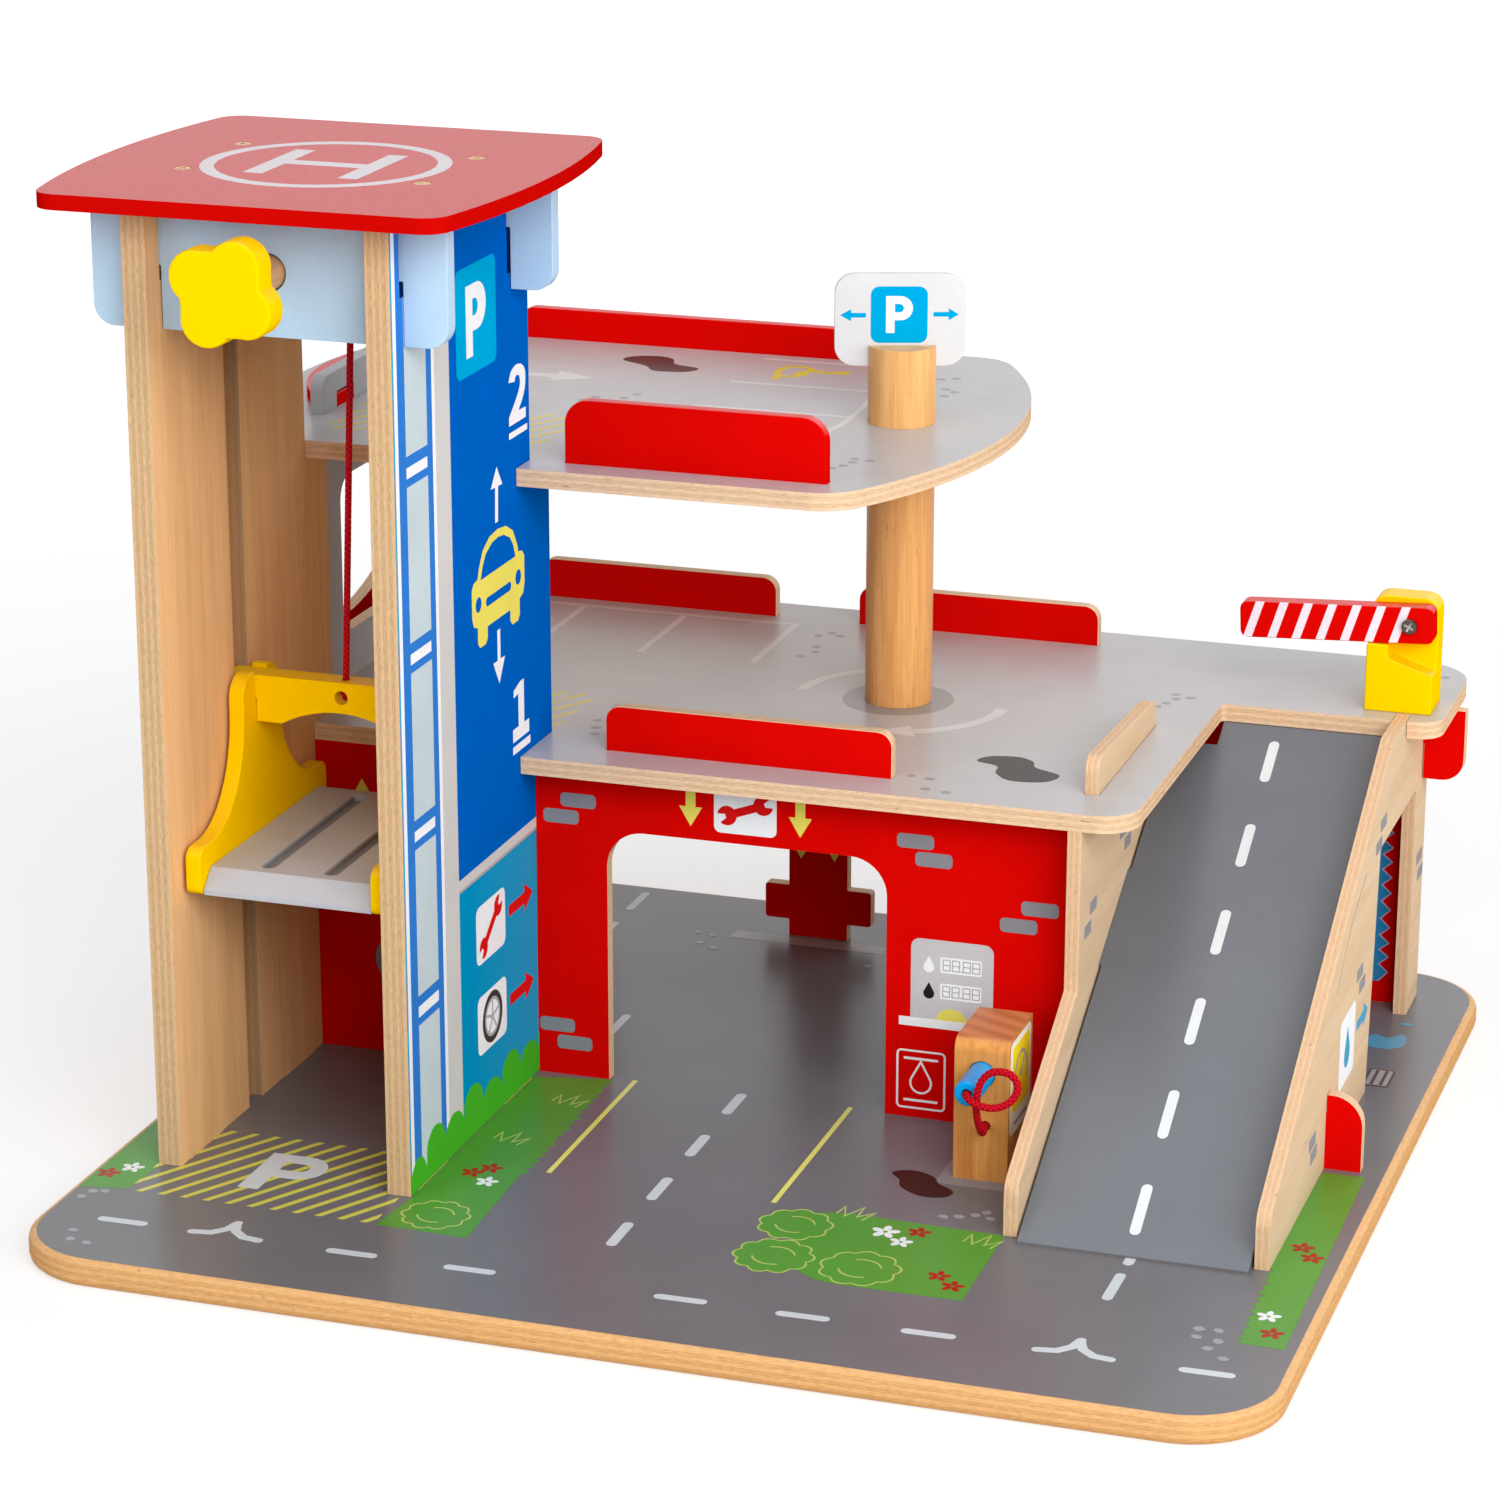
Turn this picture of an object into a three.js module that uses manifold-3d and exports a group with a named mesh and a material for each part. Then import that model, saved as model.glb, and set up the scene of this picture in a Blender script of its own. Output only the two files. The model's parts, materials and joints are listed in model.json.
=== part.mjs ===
// A wooden toy parking garage with a hand-cranked lift. Two parking decks stand on upright boards
// that slot into each other, and a tower at the left holds a lift car on a rope and a winch.
// A ramp climbs to the first deck, where a barrier swings, and a fuel pump stands beside the ramp.
// Millimetres, +X to the right, +Y to the back, +Z up. The origin is the middle of the underside.
import * as THREE from "three";
import { mergeVertices } from "three/addons/utils/BufferGeometryUtils.js";
import Module from "manifold-3d";

const wasm = await Module();
wasm.setup();

// Making
const fit_gap = 0.3; // play on each side of a joint between two pieces
const overrun = 6; // how far a cut runs past the wood
const chord_error = 0.06; // the most that a facet strays from a round
const small_round_share = 0.2; // the same for a small round, as a share of its radius

// Board thicknesses
const base_thickness = 10.5;
const tower_thickness = 9.5;
const deck_thickness = 7;
const cross_board_thickness = 7;
const roof_thickness = 5.8;
const wall_thickness = 5.5;

// Base board
const base_width = 470;
const base_depth = 450;
const base_corner_radius = 35;
const base_edge_radius = 3;
const tab_depth = 6; // how deep the uprights' tabs go into the base
const tab_length = 30;

// Lift tower
const tower_centre_x = -161;
const shaft_width = 84.3; // clear width between the tower panels
const tower_front_y = -133.6;
const tower_back_y = 21.3;
const tower_top_z = 379.5;
const guide_groove_depth = 4.5;
const guide_play = 1.25; // beside the lift's tongue, on each side
const cross_board_height = 47;
const cross_board_ear = 17.35; // how far it reaches past the panels
const cross_board_corner_radius = 8;
const front_board_inset = 11.6; // from the tower's front edge to the board
const back_board_inset = 11.6; // from the tower's upper back edge to the board
const cross_slot_play = 2.8; // spare room beside a cross board in its slot
const front_slot_spare = 5.5; // how far the front board's slots run below their lap
const back_slot_spare = 17.5; // how far the back board's slots run below their lap

// Roof
const roof_half_depth = 85;
const roof_half_width = 86.5;
const roof_bow = 9.5; // how far the side bows out past its ends
const roof_corner_radius = 10;
const roof_screw_front_y = -90;
const roof_screw_back_y = -37;
const screw_radius = 1.6;
const screw_head_radius = 3.2;
const screw_head_height = 2;
const roof_screw_length = 22;

// Winch
const shaft_radius = 6.5;
const shaft_hole_radius = 7;
const shaft_drop = 23.5; // from the tower's top to the shaft's middle
const knob_gap = 29.6; // from the front cross board to the knob
const knob_thickness = 12;
const knob_lobe_radius = 9.95;
const knob_lobe_offset = 11;
const knob_edge_radius = 1.4;
const knob_seat_depth = 7;
const knob_turn = THREE.MathUtils.degToRad(59.5); // where the first lobe points, from +X to +Z
const shaft_tail = 4.4; // how far the shaft shows behind the back cross board
const pin_radius = 1.5;
const pin_length = 18;
const pin_setback = 2.2; // from the back cross board to the pin's middle

// Lift car
const lift_centre_y = -64.6;
const lift_bottom_z = 117.2; // at rest, with the floor a little below the first deck
const lift_side_play = 1.75; // between a cheek and its tower panel
const cheek_thickness = 6.2;
const cheek_half_length = 59.4;
const cheek_nose_height = 18;
const cheek_nose_radius = 5;
const cheek_foot_radius = 3;
const cheek_neck_half_width = 16.5;
const cheek_sweep_width = 33;
const cheek_sweep_height = 40;
const cheek_top_radius = 9;
const cheek_crown = 1.5; // how far the cheek tops the cross bar
const platform_thickness = 9;
const platform_half_length = 57.7;
const platform_lip = 2;
const platform_chamfer = 7;
const platform_tongue = 2.5;
const platform_tongue_thickness = 4;
const platform_tongue_inset = 8;
const track_width = 5.8;
const track_length = 92.6;
const track_depth = 2.6;
const track_spacing = 25.6;
const track_offset = -0.6; // of the pair's middle, from the tower's middle
const bar_thickness = 10;
const bar_height = 18.3;
const bar_rise = 52.6; // from the lift's underside to the bar's underside
const bar_arch_half_width = 23.5;
const bar_arch_rise = 6.3;
const tongue_tip_play = 0.8; // between the bar's end and the groove's floor
const knot_hole_radius = 2.8;
const knot_hole_drop = 5.9; // from the bar's top to the knot hole's middle
const knot_hole_shift = 1; // of the rope's hole, from the tower's middle
const knot_radius = 2.4;
const knot_sides = 12;
const knot_rings = 8;

// Lift rope
const rope_radius = 1.2;
const rope_hole_radius = 1.7;
const rope_sides = 8;
const rope_steps = 12;
const winding_turns = 2.5;
const winding_pitch = 3;
const winding_steps = 24; // to each turn
const winding_sides = 6;

// Decks
const deck_1_z = 140.3;
const deck_2_z = 255.5;
const inner_front_y = 1.5; // front edge of both decks inside the tower, and of the front wall
const deck_front_y = -14.5;
const deck_left_x = -252;
const deck_bow_radius = 214;
const deck_bow_centre_y = 105;
const deck_left_corner_radius = 20;
const deck_1_edge_x = 134.3; // where the first deck meets the ramp bay
const deck_1_front_radius = 15;
const deck_1_right_x = 222.5;
const deck_1_nose_radius = 10;
const deck_1_back_radius = 25;
const notch_setback = 85.5; // from the decks' back edge to the first deck's edge behind the ramp
const notch_radius = 2;
const deck_slot_depth = 9.5; // slot that holds the tip of the right ramp panel
const deck_2_right_x = 54.4;
const deck_2_corner_radius = 20;
const groove_depth = 4; // blind grooves that hold the fences

// Front wall
const front_wall_left_x = -224;
const front_wall_right_x = 223;
const arch_left_x = -79.5;
const arch_right_x = 35;
const arch_top_z = 115.3;
const arch_radius = 15;
const ramp_crossing_height = 46.5; // of the front wall under the ramp
const front_ear_height = 30;
const front_ear_radius = 12;

// Back wall
const back_wall_setback = 42; // from the decks' back edge to the wall's front face
const back_wall_right_x = 226;
const back_opening_left_x = -150;
const back_opening_right_x = 52;
const back_opening_top_z = 112;
const back_opening_radius = 12;
const column_left_x = -62.5;
const column_right_x = -36;
const column_arm = 10.7; // how far the arms reach past the column
const column_arm_low_z = 18;
const column_arm_high_z = 33.8;
const column_arm_radius = 1.5;
const back_ear_height = 30.3;
const back_ear_radius = 9;

// Ramp
const ramp_bay_left_x = 115.3;
const ramp_bay_width = 88.2; // between the ramp panels
const ramp_side_gap = 1;
const ramp_foot_y = -103;
const ramp_toe = 1;
const ramp_seat = 6; // how far the ramp's head lies under the first deck
const ramp_step_length = 12;
const ramp_step_width = 19;
const ramp_tab_run = 75.5; // from the ramp's tabs to the notch
const ramp_tab_length = 45;
const ramp_tab_reach = 3.5; // how far the ramp's tabs go into its panels
const panel_front_y = -98;
const panel_front_height = 20.5;
const panel_front_radius = 8;
const panel_crest_run = 24.5; // from the right panel's crest to the notch
const panel_back_reach = 13.5; // how far the panels run past the back wall's front face
const panel_leg_width = 24.5;
const panel_opening_run = 56.3; // from the archway's front foot to the notch
const panel_opening_lean = 11.6; // how far the archway's front side leans back
const panel_opening_height = 98;
const panel_opening_radius = 3;

// Side wall and kerbs at the left
const side_wall_setback = 0.6; // from the tower's left face to the side wall
const side_wall_half_length = 62.5;
const side_wall_leg = 15;
const side_wall_sill = 20.2;
const side_wall_head = 22.9;
const side_wall_radius = 10;
const left_fence_height = 15.2;
const left_fence_radius = 6;
const mortise_length = 17;
const mortise_height = 6.5;
const mortise_inset = 14.5; // from the fence's end to its mortise
const kerb_half_length = 55;
const kerb_width = 21;
const low_fence_x = -240;
const low_fence_height = 12.7; // at its middle
const low_fence_flare = 12.1; // how much its ends rise above its middle

// Fences
const fence_radius = 6;
const deck_2_front_fence_left_x = -94.5;
const deck_2_front_fence_length = 104.6;
const deck_2_front_fence_y = -0.5;
const deck_2_front_fence_height = 25;
const deck_2_front_fence_radius = 9.5;
const deck_2_back_fence_left_x = -190;
const deck_2_back_fence_length = 182;
const deck_2_back_fence_setback = 23; // from the deck's back edge to the fence's front face
const deck_2_back_fence_height = 13;
const deck_1_front_fence_left_x = -80.6;
const deck_1_front_fence_length = 116.2;
const deck_1_front_fence_y = 4.3;
const deck_1_front_fence_height = 18.2;
const deck_1_back_fence_setback = 20.5;
const deck_1_back_fence_height = 16.7;
const deck_1_back_left_fence_left_x = -183;
const deck_1_back_left_fence_length = 107.5;
const deck_1_back_right_fence_left_x = -38.3;
const deck_1_back_right_fence_length = 104.8;
const wood_fence_left_x = 110;
const wood_fence_front_y = 10;
const wood_fence_length = 94;
const wood_fence_front_height = 14.8;
const wood_fence_back_height = 10.8;

// Post and sign
const post_x = 8.5;
const post_radius = 13.5;
const spigot_radius = 6;
const sign_dowel_height = 31.2;
const sign_slot_depth = 8.4;
const sign_width = 51.7;
const sign_height = 37;
const sign_thickness = 3.5;
const sign_radius = 8;
const sign_shift = -1; // along the slot, from the dowel's middle
const sign_turn = THREE.MathUtils.degToRad(18.2); // of the dowel and its sign, seen from above

// Barrier
const barrier_x = 189.9;
const barrier_width = 27;
const barrier_setback = 10; // from the notch to the block's front face
const barrier_depth = 22;
const barrier_height = 45.7;
const barrier_top_radius = 6;
const barrier_recess_depth = 9.5;
const ledge_rest_height = 27.8; // where the arm rests
const ledge_rest_width = 8.4;
const ledge_foot_height = 22.3;
const ledge_foot_radius = 1.5;
const ledge_right_height = 16.3;
const arm_thickness = 8;
const arm_height = 14.9;
const arm_length = 78.4;
const arm_tail = 9.6; // from the screw to the arm's short end
const arm_radius = 3;
const arm_droop = THREE.MathUtils.degToRad(2.8);
const pivot_shift = 16.9; // from the block's left face to the screw
const pivot_height = 36.3; // from the deck to the screw
const pivot_radius = 2;
const pivot_head_radius = 3.2;
const pivot_head_height = 2.2;
const pivot_grip = 10; // how far the screw goes into the block

// Fuel pump
const pump_x = 77.5;
const pump_width = 21.2;
const pump_front_y = -51;
const pump_depth = 34;
const pump_height = 56.5;
const pump_top_radius = 5;
const nozzle_radius = 5;
const nozzle_length = 33;
const nozzle_seat_depth = 12;
const nozzle_height = 43; // from the base board to the nozzle's middle
const nozzle_edge = 0.8;
const hose_radius = 1.4;
const hose_hole_radius = 2;
const hose_hole_depth = 10;
const hose_seat_depth = 8;
const hose_hole_height = 22.5;
const hose_hole_shift = 1.8; // from the block's middle
const hose_sides = 8;
const hose_step = 3.6;

// The hose's route, from the nozzle's mouth round one loop and into the block
const hose_route = [
  [88.9, -74.6, 53.9],
  [91.2, -77.8, 53.6],
  [94.9, -79, 52.7],
  [99.1, -79, 52.2],
  [103, -78.2, 52.9],
  [106.5, -77.2, 55.1],
  [108.4, -76, 58.5],
  [108, -75.2, 62.1],
  [105.3, -74.6, 64.6],
  [101.4, -74.4, 65.1],
  [97.6, -74.4, 64],
  [94.8, -74.5, 61],
  [93.3, -74.6, 57.1],
  [92.7, -74.6, 53.3],
  [92.5, -74, 49.2],
  [92.3, -71.8, 44.6],
  [92, -68, 39.9],
  [91.7, -63.4, 35.8],
  [91, -58.8, 33.6],
  [90.3, -55, 33],
];

// What follows from the sizes above
const base_top = base_thickness;
const shaft_z = tower_top_z - shaft_drop;
const left_panel_inner_x = tower_centre_x - shaft_width / 2;
const left_panel_x = left_panel_inner_x - tower_thickness;
const right_panel_x = tower_centre_x + shaft_width / 2;
const right_panel_outer_x = right_panel_x + tower_thickness;
const shoulder_y = inner_front_y - fit_gap; // back edge of the tower's upper part
const tower_centre_y = (tower_front_y + shoulder_y) / 2;
const cross_board_z = tower_top_z - cross_board_height;
const cross_lap_z = cross_board_z + cross_board_height / 2;
const front_board_y = tower_front_y + front_board_inset;
const back_board_y = shoulder_y - back_board_inset - cross_board_thickness;
const cross_board_half_length = shaft_width / 2 + tower_thickness + cross_board_ear;
const cross_board_back_y = back_board_y + cross_board_thickness;
const knob_back_y = front_board_y - knob_gap;
const shaft_front_y = knob_back_y - knob_seat_depth;
const shaft_back_y = cross_board_back_y + shaft_tail;
const pin_y = cross_board_back_y + pin_setback;
const deck_1_top = deck_1_z + deck_thickness;
const deck_2_top = deck_2_z + deck_thickness;
const deck_back_y = base_depth / 2;
const notch_y = deck_back_y - notch_setback;
const back_wall_y = deck_back_y - back_wall_setback;
const deck_1_back_fence_y = deck_back_y - deck_1_back_fence_setback;
const deck_2_back_fence_y = deck_back_y - deck_2_back_fence_setback;
const deck_left_centre_x = deck_left_x + deck_bow_radius;
const deck_step_x = right_panel_outer_x + fit_gap;
const front_wall_y = inner_front_y;
const ramp_left_x = ramp_bay_left_x + ramp_side_gap;
const ramp_right_x = ramp_bay_left_x + ramp_bay_width - ramp_side_gap;
const ramp_width = ramp_right_x - ramp_left_x;
const left_ramp_panel_x = ramp_bay_left_x - wall_thickness;
const right_ramp_panel_x = ramp_bay_left_x + ramp_bay_width;
const right_ramp_panel_outer_x = right_ramp_panel_x + wall_thickness;
const ramp_foot_z = base_top + ramp_toe;
const ramp_slope = (deck_1_z - ramp_foot_z) / (notch_y - ramp_foot_y);
const ramp_drop = wall_thickness * Math.hypot(1, ramp_slope); // thickness, measured upright
const ramp_tab_end_y = notch_y - ramp_tab_run;
const ramp_tab_start_y = ramp_tab_end_y - ramp_tab_length;
const panel_crest_y = notch_y - panel_crest_run;
const panel_back_y = back_wall_y + panel_back_reach;
const panel_leg_y = panel_back_y - panel_leg_width;
const panel_opening_y = notch_y - panel_opening_run;
const panel_front_z = base_top + panel_front_height;
const panel_slope = (deck_1_top - panel_front_z) / (panel_crest_y - panel_front_y);
const wall_lap_z = (base_top + deck_1_z) / 2;
const ramp_lap_z = base_top + ramp_crossing_height / 2;
const back_lap_z = deck_1_z - back_ear_height / 2;
const side_wall_x = left_panel_x - side_wall_setback - wall_thickness;
const lift_top_z = lift_bottom_z + bar_rise + bar_height;
const platform_top_z = lift_bottom_z + platform_thickness;
const left_cheek_x = left_panel_inner_x + lift_side_play;
const left_cheek_inner_x = left_cheek_x + cheek_thickness;
const right_cheek_x = right_panel_x - lift_side_play - cheek_thickness;
const bar_y = lift_centre_y - bar_thickness / 2;
const bar_z = lift_bottom_z + bar_rise;
const bar_lap_z = bar_z + bar_height / 2;
const bar_half_length = shaft_width / 2 + guide_groove_depth - tongue_tip_play;
const knot_x = tower_centre_x + knot_hole_shift;
const knot_z = lift_top_z - knot_hole_drop;
const winding_radius = shaft_radius + fit_gap + rope_radius;
const winding_tail = 2 * rope_radius;
const rope_top_z = shaft_z - winding_tail - fit_gap;
const rope_bottom_z = knot_z + knot_radius + fit_gap;
const barrier_front_y = notch_y + barrier_setback;
const pivot_x = barrier_x + pivot_shift;
const pivot_z = deck_1_top + pivot_height;
const recess_y = barrier_front_y + barrier_recess_depth;
const arm_y = recess_y - arm_thickness - fit_gap;
const pump_middle_x = pump_x + pump_width / 2;
const nozzle_z = base_top + nozzle_height;
const nozzle_front_y = pump_front_y + nozzle_seat_depth - nozzle_length;
const hose_hole_x = pump_middle_x + hose_hole_shift;
const hose_hole_z = base_top + hose_hole_height;
const sign_z = deck_2_top + sign_dowel_height - sign_slot_depth;
const sign_y = deck_bow_centre_y - sign_thickness / 2;

// Paints and woods
const paint = (color, roughness) => new THREE.MeshStandardMaterial({ color, roughness, metalness: 0 });
const road_board = paint(0x77787c, 0.6);
const natural_wood = paint(0xe3bf8d, 0.65);
const dark_grey = paint(0x66686c, 0.6);
const deck_grey = paint(0xb9bcc0, 0.6);
const red_paint = paint(0xc8101c, 0.45);
const yellow_paint = paint(0xffd800, 0.45);
const pale_blue = paint(0xa6c8dc, 0.5);
const deep_blue = paint(0x1147a8, 0.5);
const light_grey = paint(0xc4c6ca, 0.55);
const mid_grey = paint(0xa7aab0, 0.55);
const white_paint = paint(0xf7f8fa, 0.5);
const nozzle_blue = paint(0x0c8fe0, 0.5);
const red_rope = paint(0xd21026, 0.85);
const steel = new THREE.MeshStandardMaterial({ color: 0x6f6a66, roughness: 0.35, metalness: 0.9 });
const brass = new THREE.MeshStandardMaterial({ color: 0xcda55a, roughness: 0.35, metalness: 0.9 });

const garage = new THREE.Group();

// Solids

const across_x = new THREE.Vector3(1, 0, 0);
const across_y = new THREE.Vector3(0, 1, 0);
const upward = new THREE.Vector3(0, 0, 1);
const forward = new THREE.Vector3(0, -1, 0);

// A closed three.js geometry as a solid that can be cut and joined.
function solid(geometry) {
  const bare = geometry.clone();
  bare.deleteAttribute("normal");
  bare.deleteAttribute("uv");
  const merged = mergeVertices(bare);
  const corners = [];
  for (let i = 0; i < merged.index.count; i += 3) {
    const [a, b, c] = [0, 1, 2].map((k) => merged.index.getX(i + k));
    if (a !== b && b !== c && c !== a) corners.push(a, b, c);
  }
  const vertProperties = new Float32Array(merged.attributes.position.array);
  const triVerts = new Uint32Array(corners);
  return new wasm.Manifold(new wasm.Mesh({ numProp: 3, vertProperties, triVerts }));
}

// Adds a solid to the garage as a named, painted piece.
function piece(name, material, body) {
  const { numProp, vertProperties, triVerts } = body.getMesh();
  const shared = new THREE.BufferGeometry();
  shared.setAttribute("position", new THREE.BufferAttribute(vertProperties, numProp));
  shared.setIndex(new THREE.BufferAttribute(triVerts, 1));
  const geometry = shared.toNonIndexed();
  geometry.computeVertexNormals();
  const mesh = new THREE.Mesh(geometry, material);
  mesh.name = name;
  garage.add(mesh);
}

const cut = (body, ...cutters) => cutters.reduce((left, cutter) => left.subtract(cutter), body);
const join = (body, ...others) => others.reduce((whole, other) => whole.add(other), body);

function extruded(outline, depth, axes, place, bevel = {}) {
  const shape = new THREE.Shape(outline.map(([u, v]) => new THREE.Vector2(u, v)));
  const geometry = new THREE.ExtrudeGeometry(shape, { depth, bevelEnabled: false, ...bevel });
  return geometry.applyMatrix4(new THREE.Matrix4().makeBasis(...axes).setPosition(...place));
}

// A board that lies flat: its outline runs in X and Y, and its underside is at z.
function lying(outline, z, thickness) {
  return solid(extruded(outline, thickness, [across_x, across_y, upward], [0, 0, z]));
}

// A board that faces the front: its outline runs in X and Z, and its front face is at y.
function facing_front(outline, y, thickness) {
  return solid(extruded(outline, thickness, [across_x, upward, forward], [0, y + thickness, 0]));
}

// A board that faces the side: its outline runs in Y and Z, and its left face is at x.
function facing_side(outline, x, thickness) {
  return solid(extruded(outline, thickness, [across_y, upward, across_x], [x, 0, 0]));
}

const block = (x0, x1, y0, y1, z0, z1) => lying(rectangle(x0, y0, x1, y1), z0, z1 - z0);

// A piece turned on a lathe about the Z axis through x, y; its profile is radius and height.
function turned_upright(profile, x, y) {
  const steps = round_sides(Math.max(...profile.map(([radius]) => radius)));
  const points = profile.map(([radius, height]) => new THREE.Vector2(radius, height));
  const geometry = new THREE.LatheGeometry(points, steps);
  const axes = new THREE.Matrix4().makeBasis(across_x, upward, forward);
  return solid(geometry.applyMatrix4(axes.setPosition(x, y, 0)));
}

// A piece turned about an axis along Y through x, z; its profile is radius and distance to the back.
function turned_lengthwise(profile, x, z) {
  const steps = round_sides(Math.max(...profile.map(([radius]) => radius)));
  const points = profile.map(([radius, height]) => new THREE.Vector2(radius, height));
  const geometry = new THREE.LatheGeometry(points, steps);
  return solid(geometry.translate(x, 0, z));
}

const rod_upright = (x, y, radius, z, length) => lying(circle(x, y, radius), z, length);
const rod_lengthwise = (x, z, radius, y, length) => facing_front(circle(x, z, radius), y, length);

// A tube along a smooth line through the points.
function tube(points, radius, sides, steps) {
  const path = new THREE.CatmullRomCurve3(points.map((point) => new THREE.Vector3(...point)));
  const section = new THREE.Shape();
  for (let side = 0; side < sides; side += 1) {
    const angle = (2 * Math.PI * side) / sides;
    section[side ? "lineTo" : "moveTo"](radius * Math.cos(angle), radius * Math.sin(angle));
  }
  return solid(new THREE.ExtrudeGeometry(section, { steps, extrudePath: path, curveSegments: 1 }));
}

// Outlines

function round_sides(radius) {
  const sides = Math.PI / Math.acos(1 - Math.min(chord_error / radius, small_round_share));
  return 4 * Math.ceil(sides / 4);
}

// Points along an arc, from one angle to another.
function arc(u, v, radius, from, to) {
  const share = Math.abs(to - from) / (2 * Math.PI);
  const steps = Math.max(2, Math.ceil(share * round_sides(radius)));
  return Array.from({ length: steps + 1 }, (_, step) => {
    const angle = from + ((to - from) * step) / steps;
    return [u + radius * Math.cos(angle), v + radius * Math.sin(angle)];
  });
}

const circle = (u, v, radius) => arc(u, v, radius, 0, 2 * Math.PI).slice(1);

// An outline of straight edges whose corners, given as [u, v, radius], are rounded.
function rounded(corners) {
  return corners.flatMap(([u, v, radius = 0], i) => {
    if (!radius) return [[u, v]];
    const corner = new THREE.Vector2(u, v);
    const before = new THREE.Vector2(...corners.at(i - 1)).sub(corner).normalize();
    const after = new THREE.Vector2(...corners[(i + 1) % corners.length]).sub(corner).normalize();
    const half = Math.acos(THREE.MathUtils.clamp(before.dot(after), -1, 1)) / 2;
    const middle = before.clone().add(after).normalize();
    const centre = corner.clone().addScaledVector(middle, radius / Math.sin(half));
    const start = corner.clone().addScaledVector(before, radius / Math.tan(half)).sub(centre);
    const turn = Math.sign(before.cross(after)) * (Math.PI - 2 * half);
    return arc(centre.x, centre.y, radius, start.angle(), start.angle() - turn);
  });
}

function rectangle(u0, v0, u1, v1, lower_radius = 0, upper_radius = 0) {
  return rounded([
    [u0, v0, lower_radius],
    [u1, v0, lower_radius],
    [u1, v1, upper_radius],
    [u0, v1, upper_radius],
  ]);
}

// The right side of a board that bows out about (u, v), between the straight edges at low and high.
// Each corner is a fillet that touches both the bowed side and its straight edge.
function bowed_side(u, v, radius, low, high, low_radius, high_radius) {
  const corner = (fillet, edge) => {
    const across = Math.sqrt((radius - fillet) ** 2 - (edge - v) ** 2);
    return { across: u + across, angle: Math.atan2(edge - v, across) };
  };
  const first = corner(low_radius, low + low_radius);
  const last = corner(high_radius, high - high_radius);
  return [
    ...arc(first.across, low + low_radius, low_radius, -Math.PI / 2, first.angle),
    ...arc(u, v, radius, first.angle, last.angle).slice(1),
    ...arc(last.across, high - high_radius, high_radius, last.angle, Math.PI / 2).slice(1),
  ];
}

const mirrored = (outline, u) => outline.map(([a, b]) => [2 * u - a, b]).reverse();

// A low board that stands in a blind groove, with its two upper corners rounded.
function fence_outline(start, length, floor, height, radius) {
  return rectangle(start, floor - groove_depth, start + length, floor + height, 0, radius);
}

// The groove for a fence whose foot is the rectangle x0 to x1, y0 to y1.
function groove(x0, x1, y0, y1, floor) {
  const bottom = floor - groove_depth - fit_gap;
  return block(x0 - fit_gap, x1 + fit_gap, y0 - fit_gap, y1 + fit_gap, bottom, floor + overrun);
}

// Tabs under the uprights, each the rectangle x0 to x1, y0 to y1, that stand in the base board.

const half_tab = tab_length / 2;
const lengthwise_tab = (x, thickness, y) => [x, x + thickness, y - half_tab, y + half_tab];
const crosswise_tab = (y, x) => [x - half_tab, x + half_tab, y, y + wall_thickness];
const tower_tab_share = 0.17;
const tower_tab_ys = [tower_tab_share, 1 - tower_tab_share].map(
  (share) => tower_front_y + share * (front_wall_y - tower_front_y),
);
const ramp_panel_tabs = (x) => [
  lengthwise_tab(x, wall_thickness, (panel_front_y + front_wall_y) / 2),
  [x, x + wall_thickness, panel_leg_y, panel_back_y],
];
const tabs = {
  tower_left_panel: tower_tab_ys.map((y) => lengthwise_tab(left_panel_x, tower_thickness, y)),
  tower_right_panel: tower_tab_ys.map((y) => lengthwise_tab(right_panel_x, tower_thickness, y)),
  front_wall: [
    crosswise_tab(front_wall_y, (right_panel_outer_x + arch_left_x) / 2),
    crosswise_tab(front_wall_y, (arch_right_x + left_ramp_panel_x) / 2),
  ],
  back_wall: [
    crosswise_tab(back_wall_y, (front_wall_left_x + back_opening_left_x) / 2),
    crosswise_tab(back_wall_y, (back_opening_right_x + left_ramp_panel_x) / 2),
  ],
  ramp_left_panel: ramp_panel_tabs(left_ramp_panel_x),
  ramp_right_panel: ramp_panel_tabs(right_ramp_panel_x),
};

const tab_block = ([x0, x1, y0, y1]) => block(x0, x1, y0, y1, base_top - tab_depth, base_top + tab_depth);

const with_tabs = (name, board) => join(board, ...tabs[name].map(tab_block));

const tab_pocket = ([x0, x1, y0, y1]) =>
  block(
    x0 - fit_gap,
    x1 + fit_gap,
    y0 - fit_gap,
    y1 + fit_gap,
    base_top - tab_depth - fit_gap,
    base_top + overrun,
  );

function make_base() {
  const outline = rectangle(
    -base_width / 2,
    -base_depth / 2,
    base_width / 2,
    base_depth / 2,
    base_corner_radius,
    base_corner_radius,
  );
  const bevel = {
    bevelEnabled: true,
    bevelThickness: base_edge_radius,
    bevelSize: base_edge_radius,
    bevelOffset: -base_edge_radius,
    bevelSegments: 3,
  };
  const flat_part = base_thickness - 2 * base_edge_radius;
  const axes = [across_x, across_y, upward];
  const board = solid(extruded(outline, flat_part, axes, [0, 0, base_edge_radius], bevel));
  piece("base_board", road_board, cut(board, ...Object.values(tabs).flat().map(tab_pocket)));
}

// Lift tower

// The slots for both cross boards in one tower panel, each as its front end, its back end and its floor.
const front_slot_floor = cross_lap_z - front_slot_spare;
const back_slot_floor = cross_lap_z - back_slot_spare;
const front_board_back_y = front_board_y + cross_board_thickness;
const cross_slots = (front_play, back_play) => [
  [front_board_y - front_play, front_board_back_y + back_play, front_slot_floor],
  [back_board_y - front_play, cross_board_back_y + back_play, back_slot_floor],
];
const roof_screw_ys = [roof_screw_front_y, roof_screw_back_y];

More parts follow.
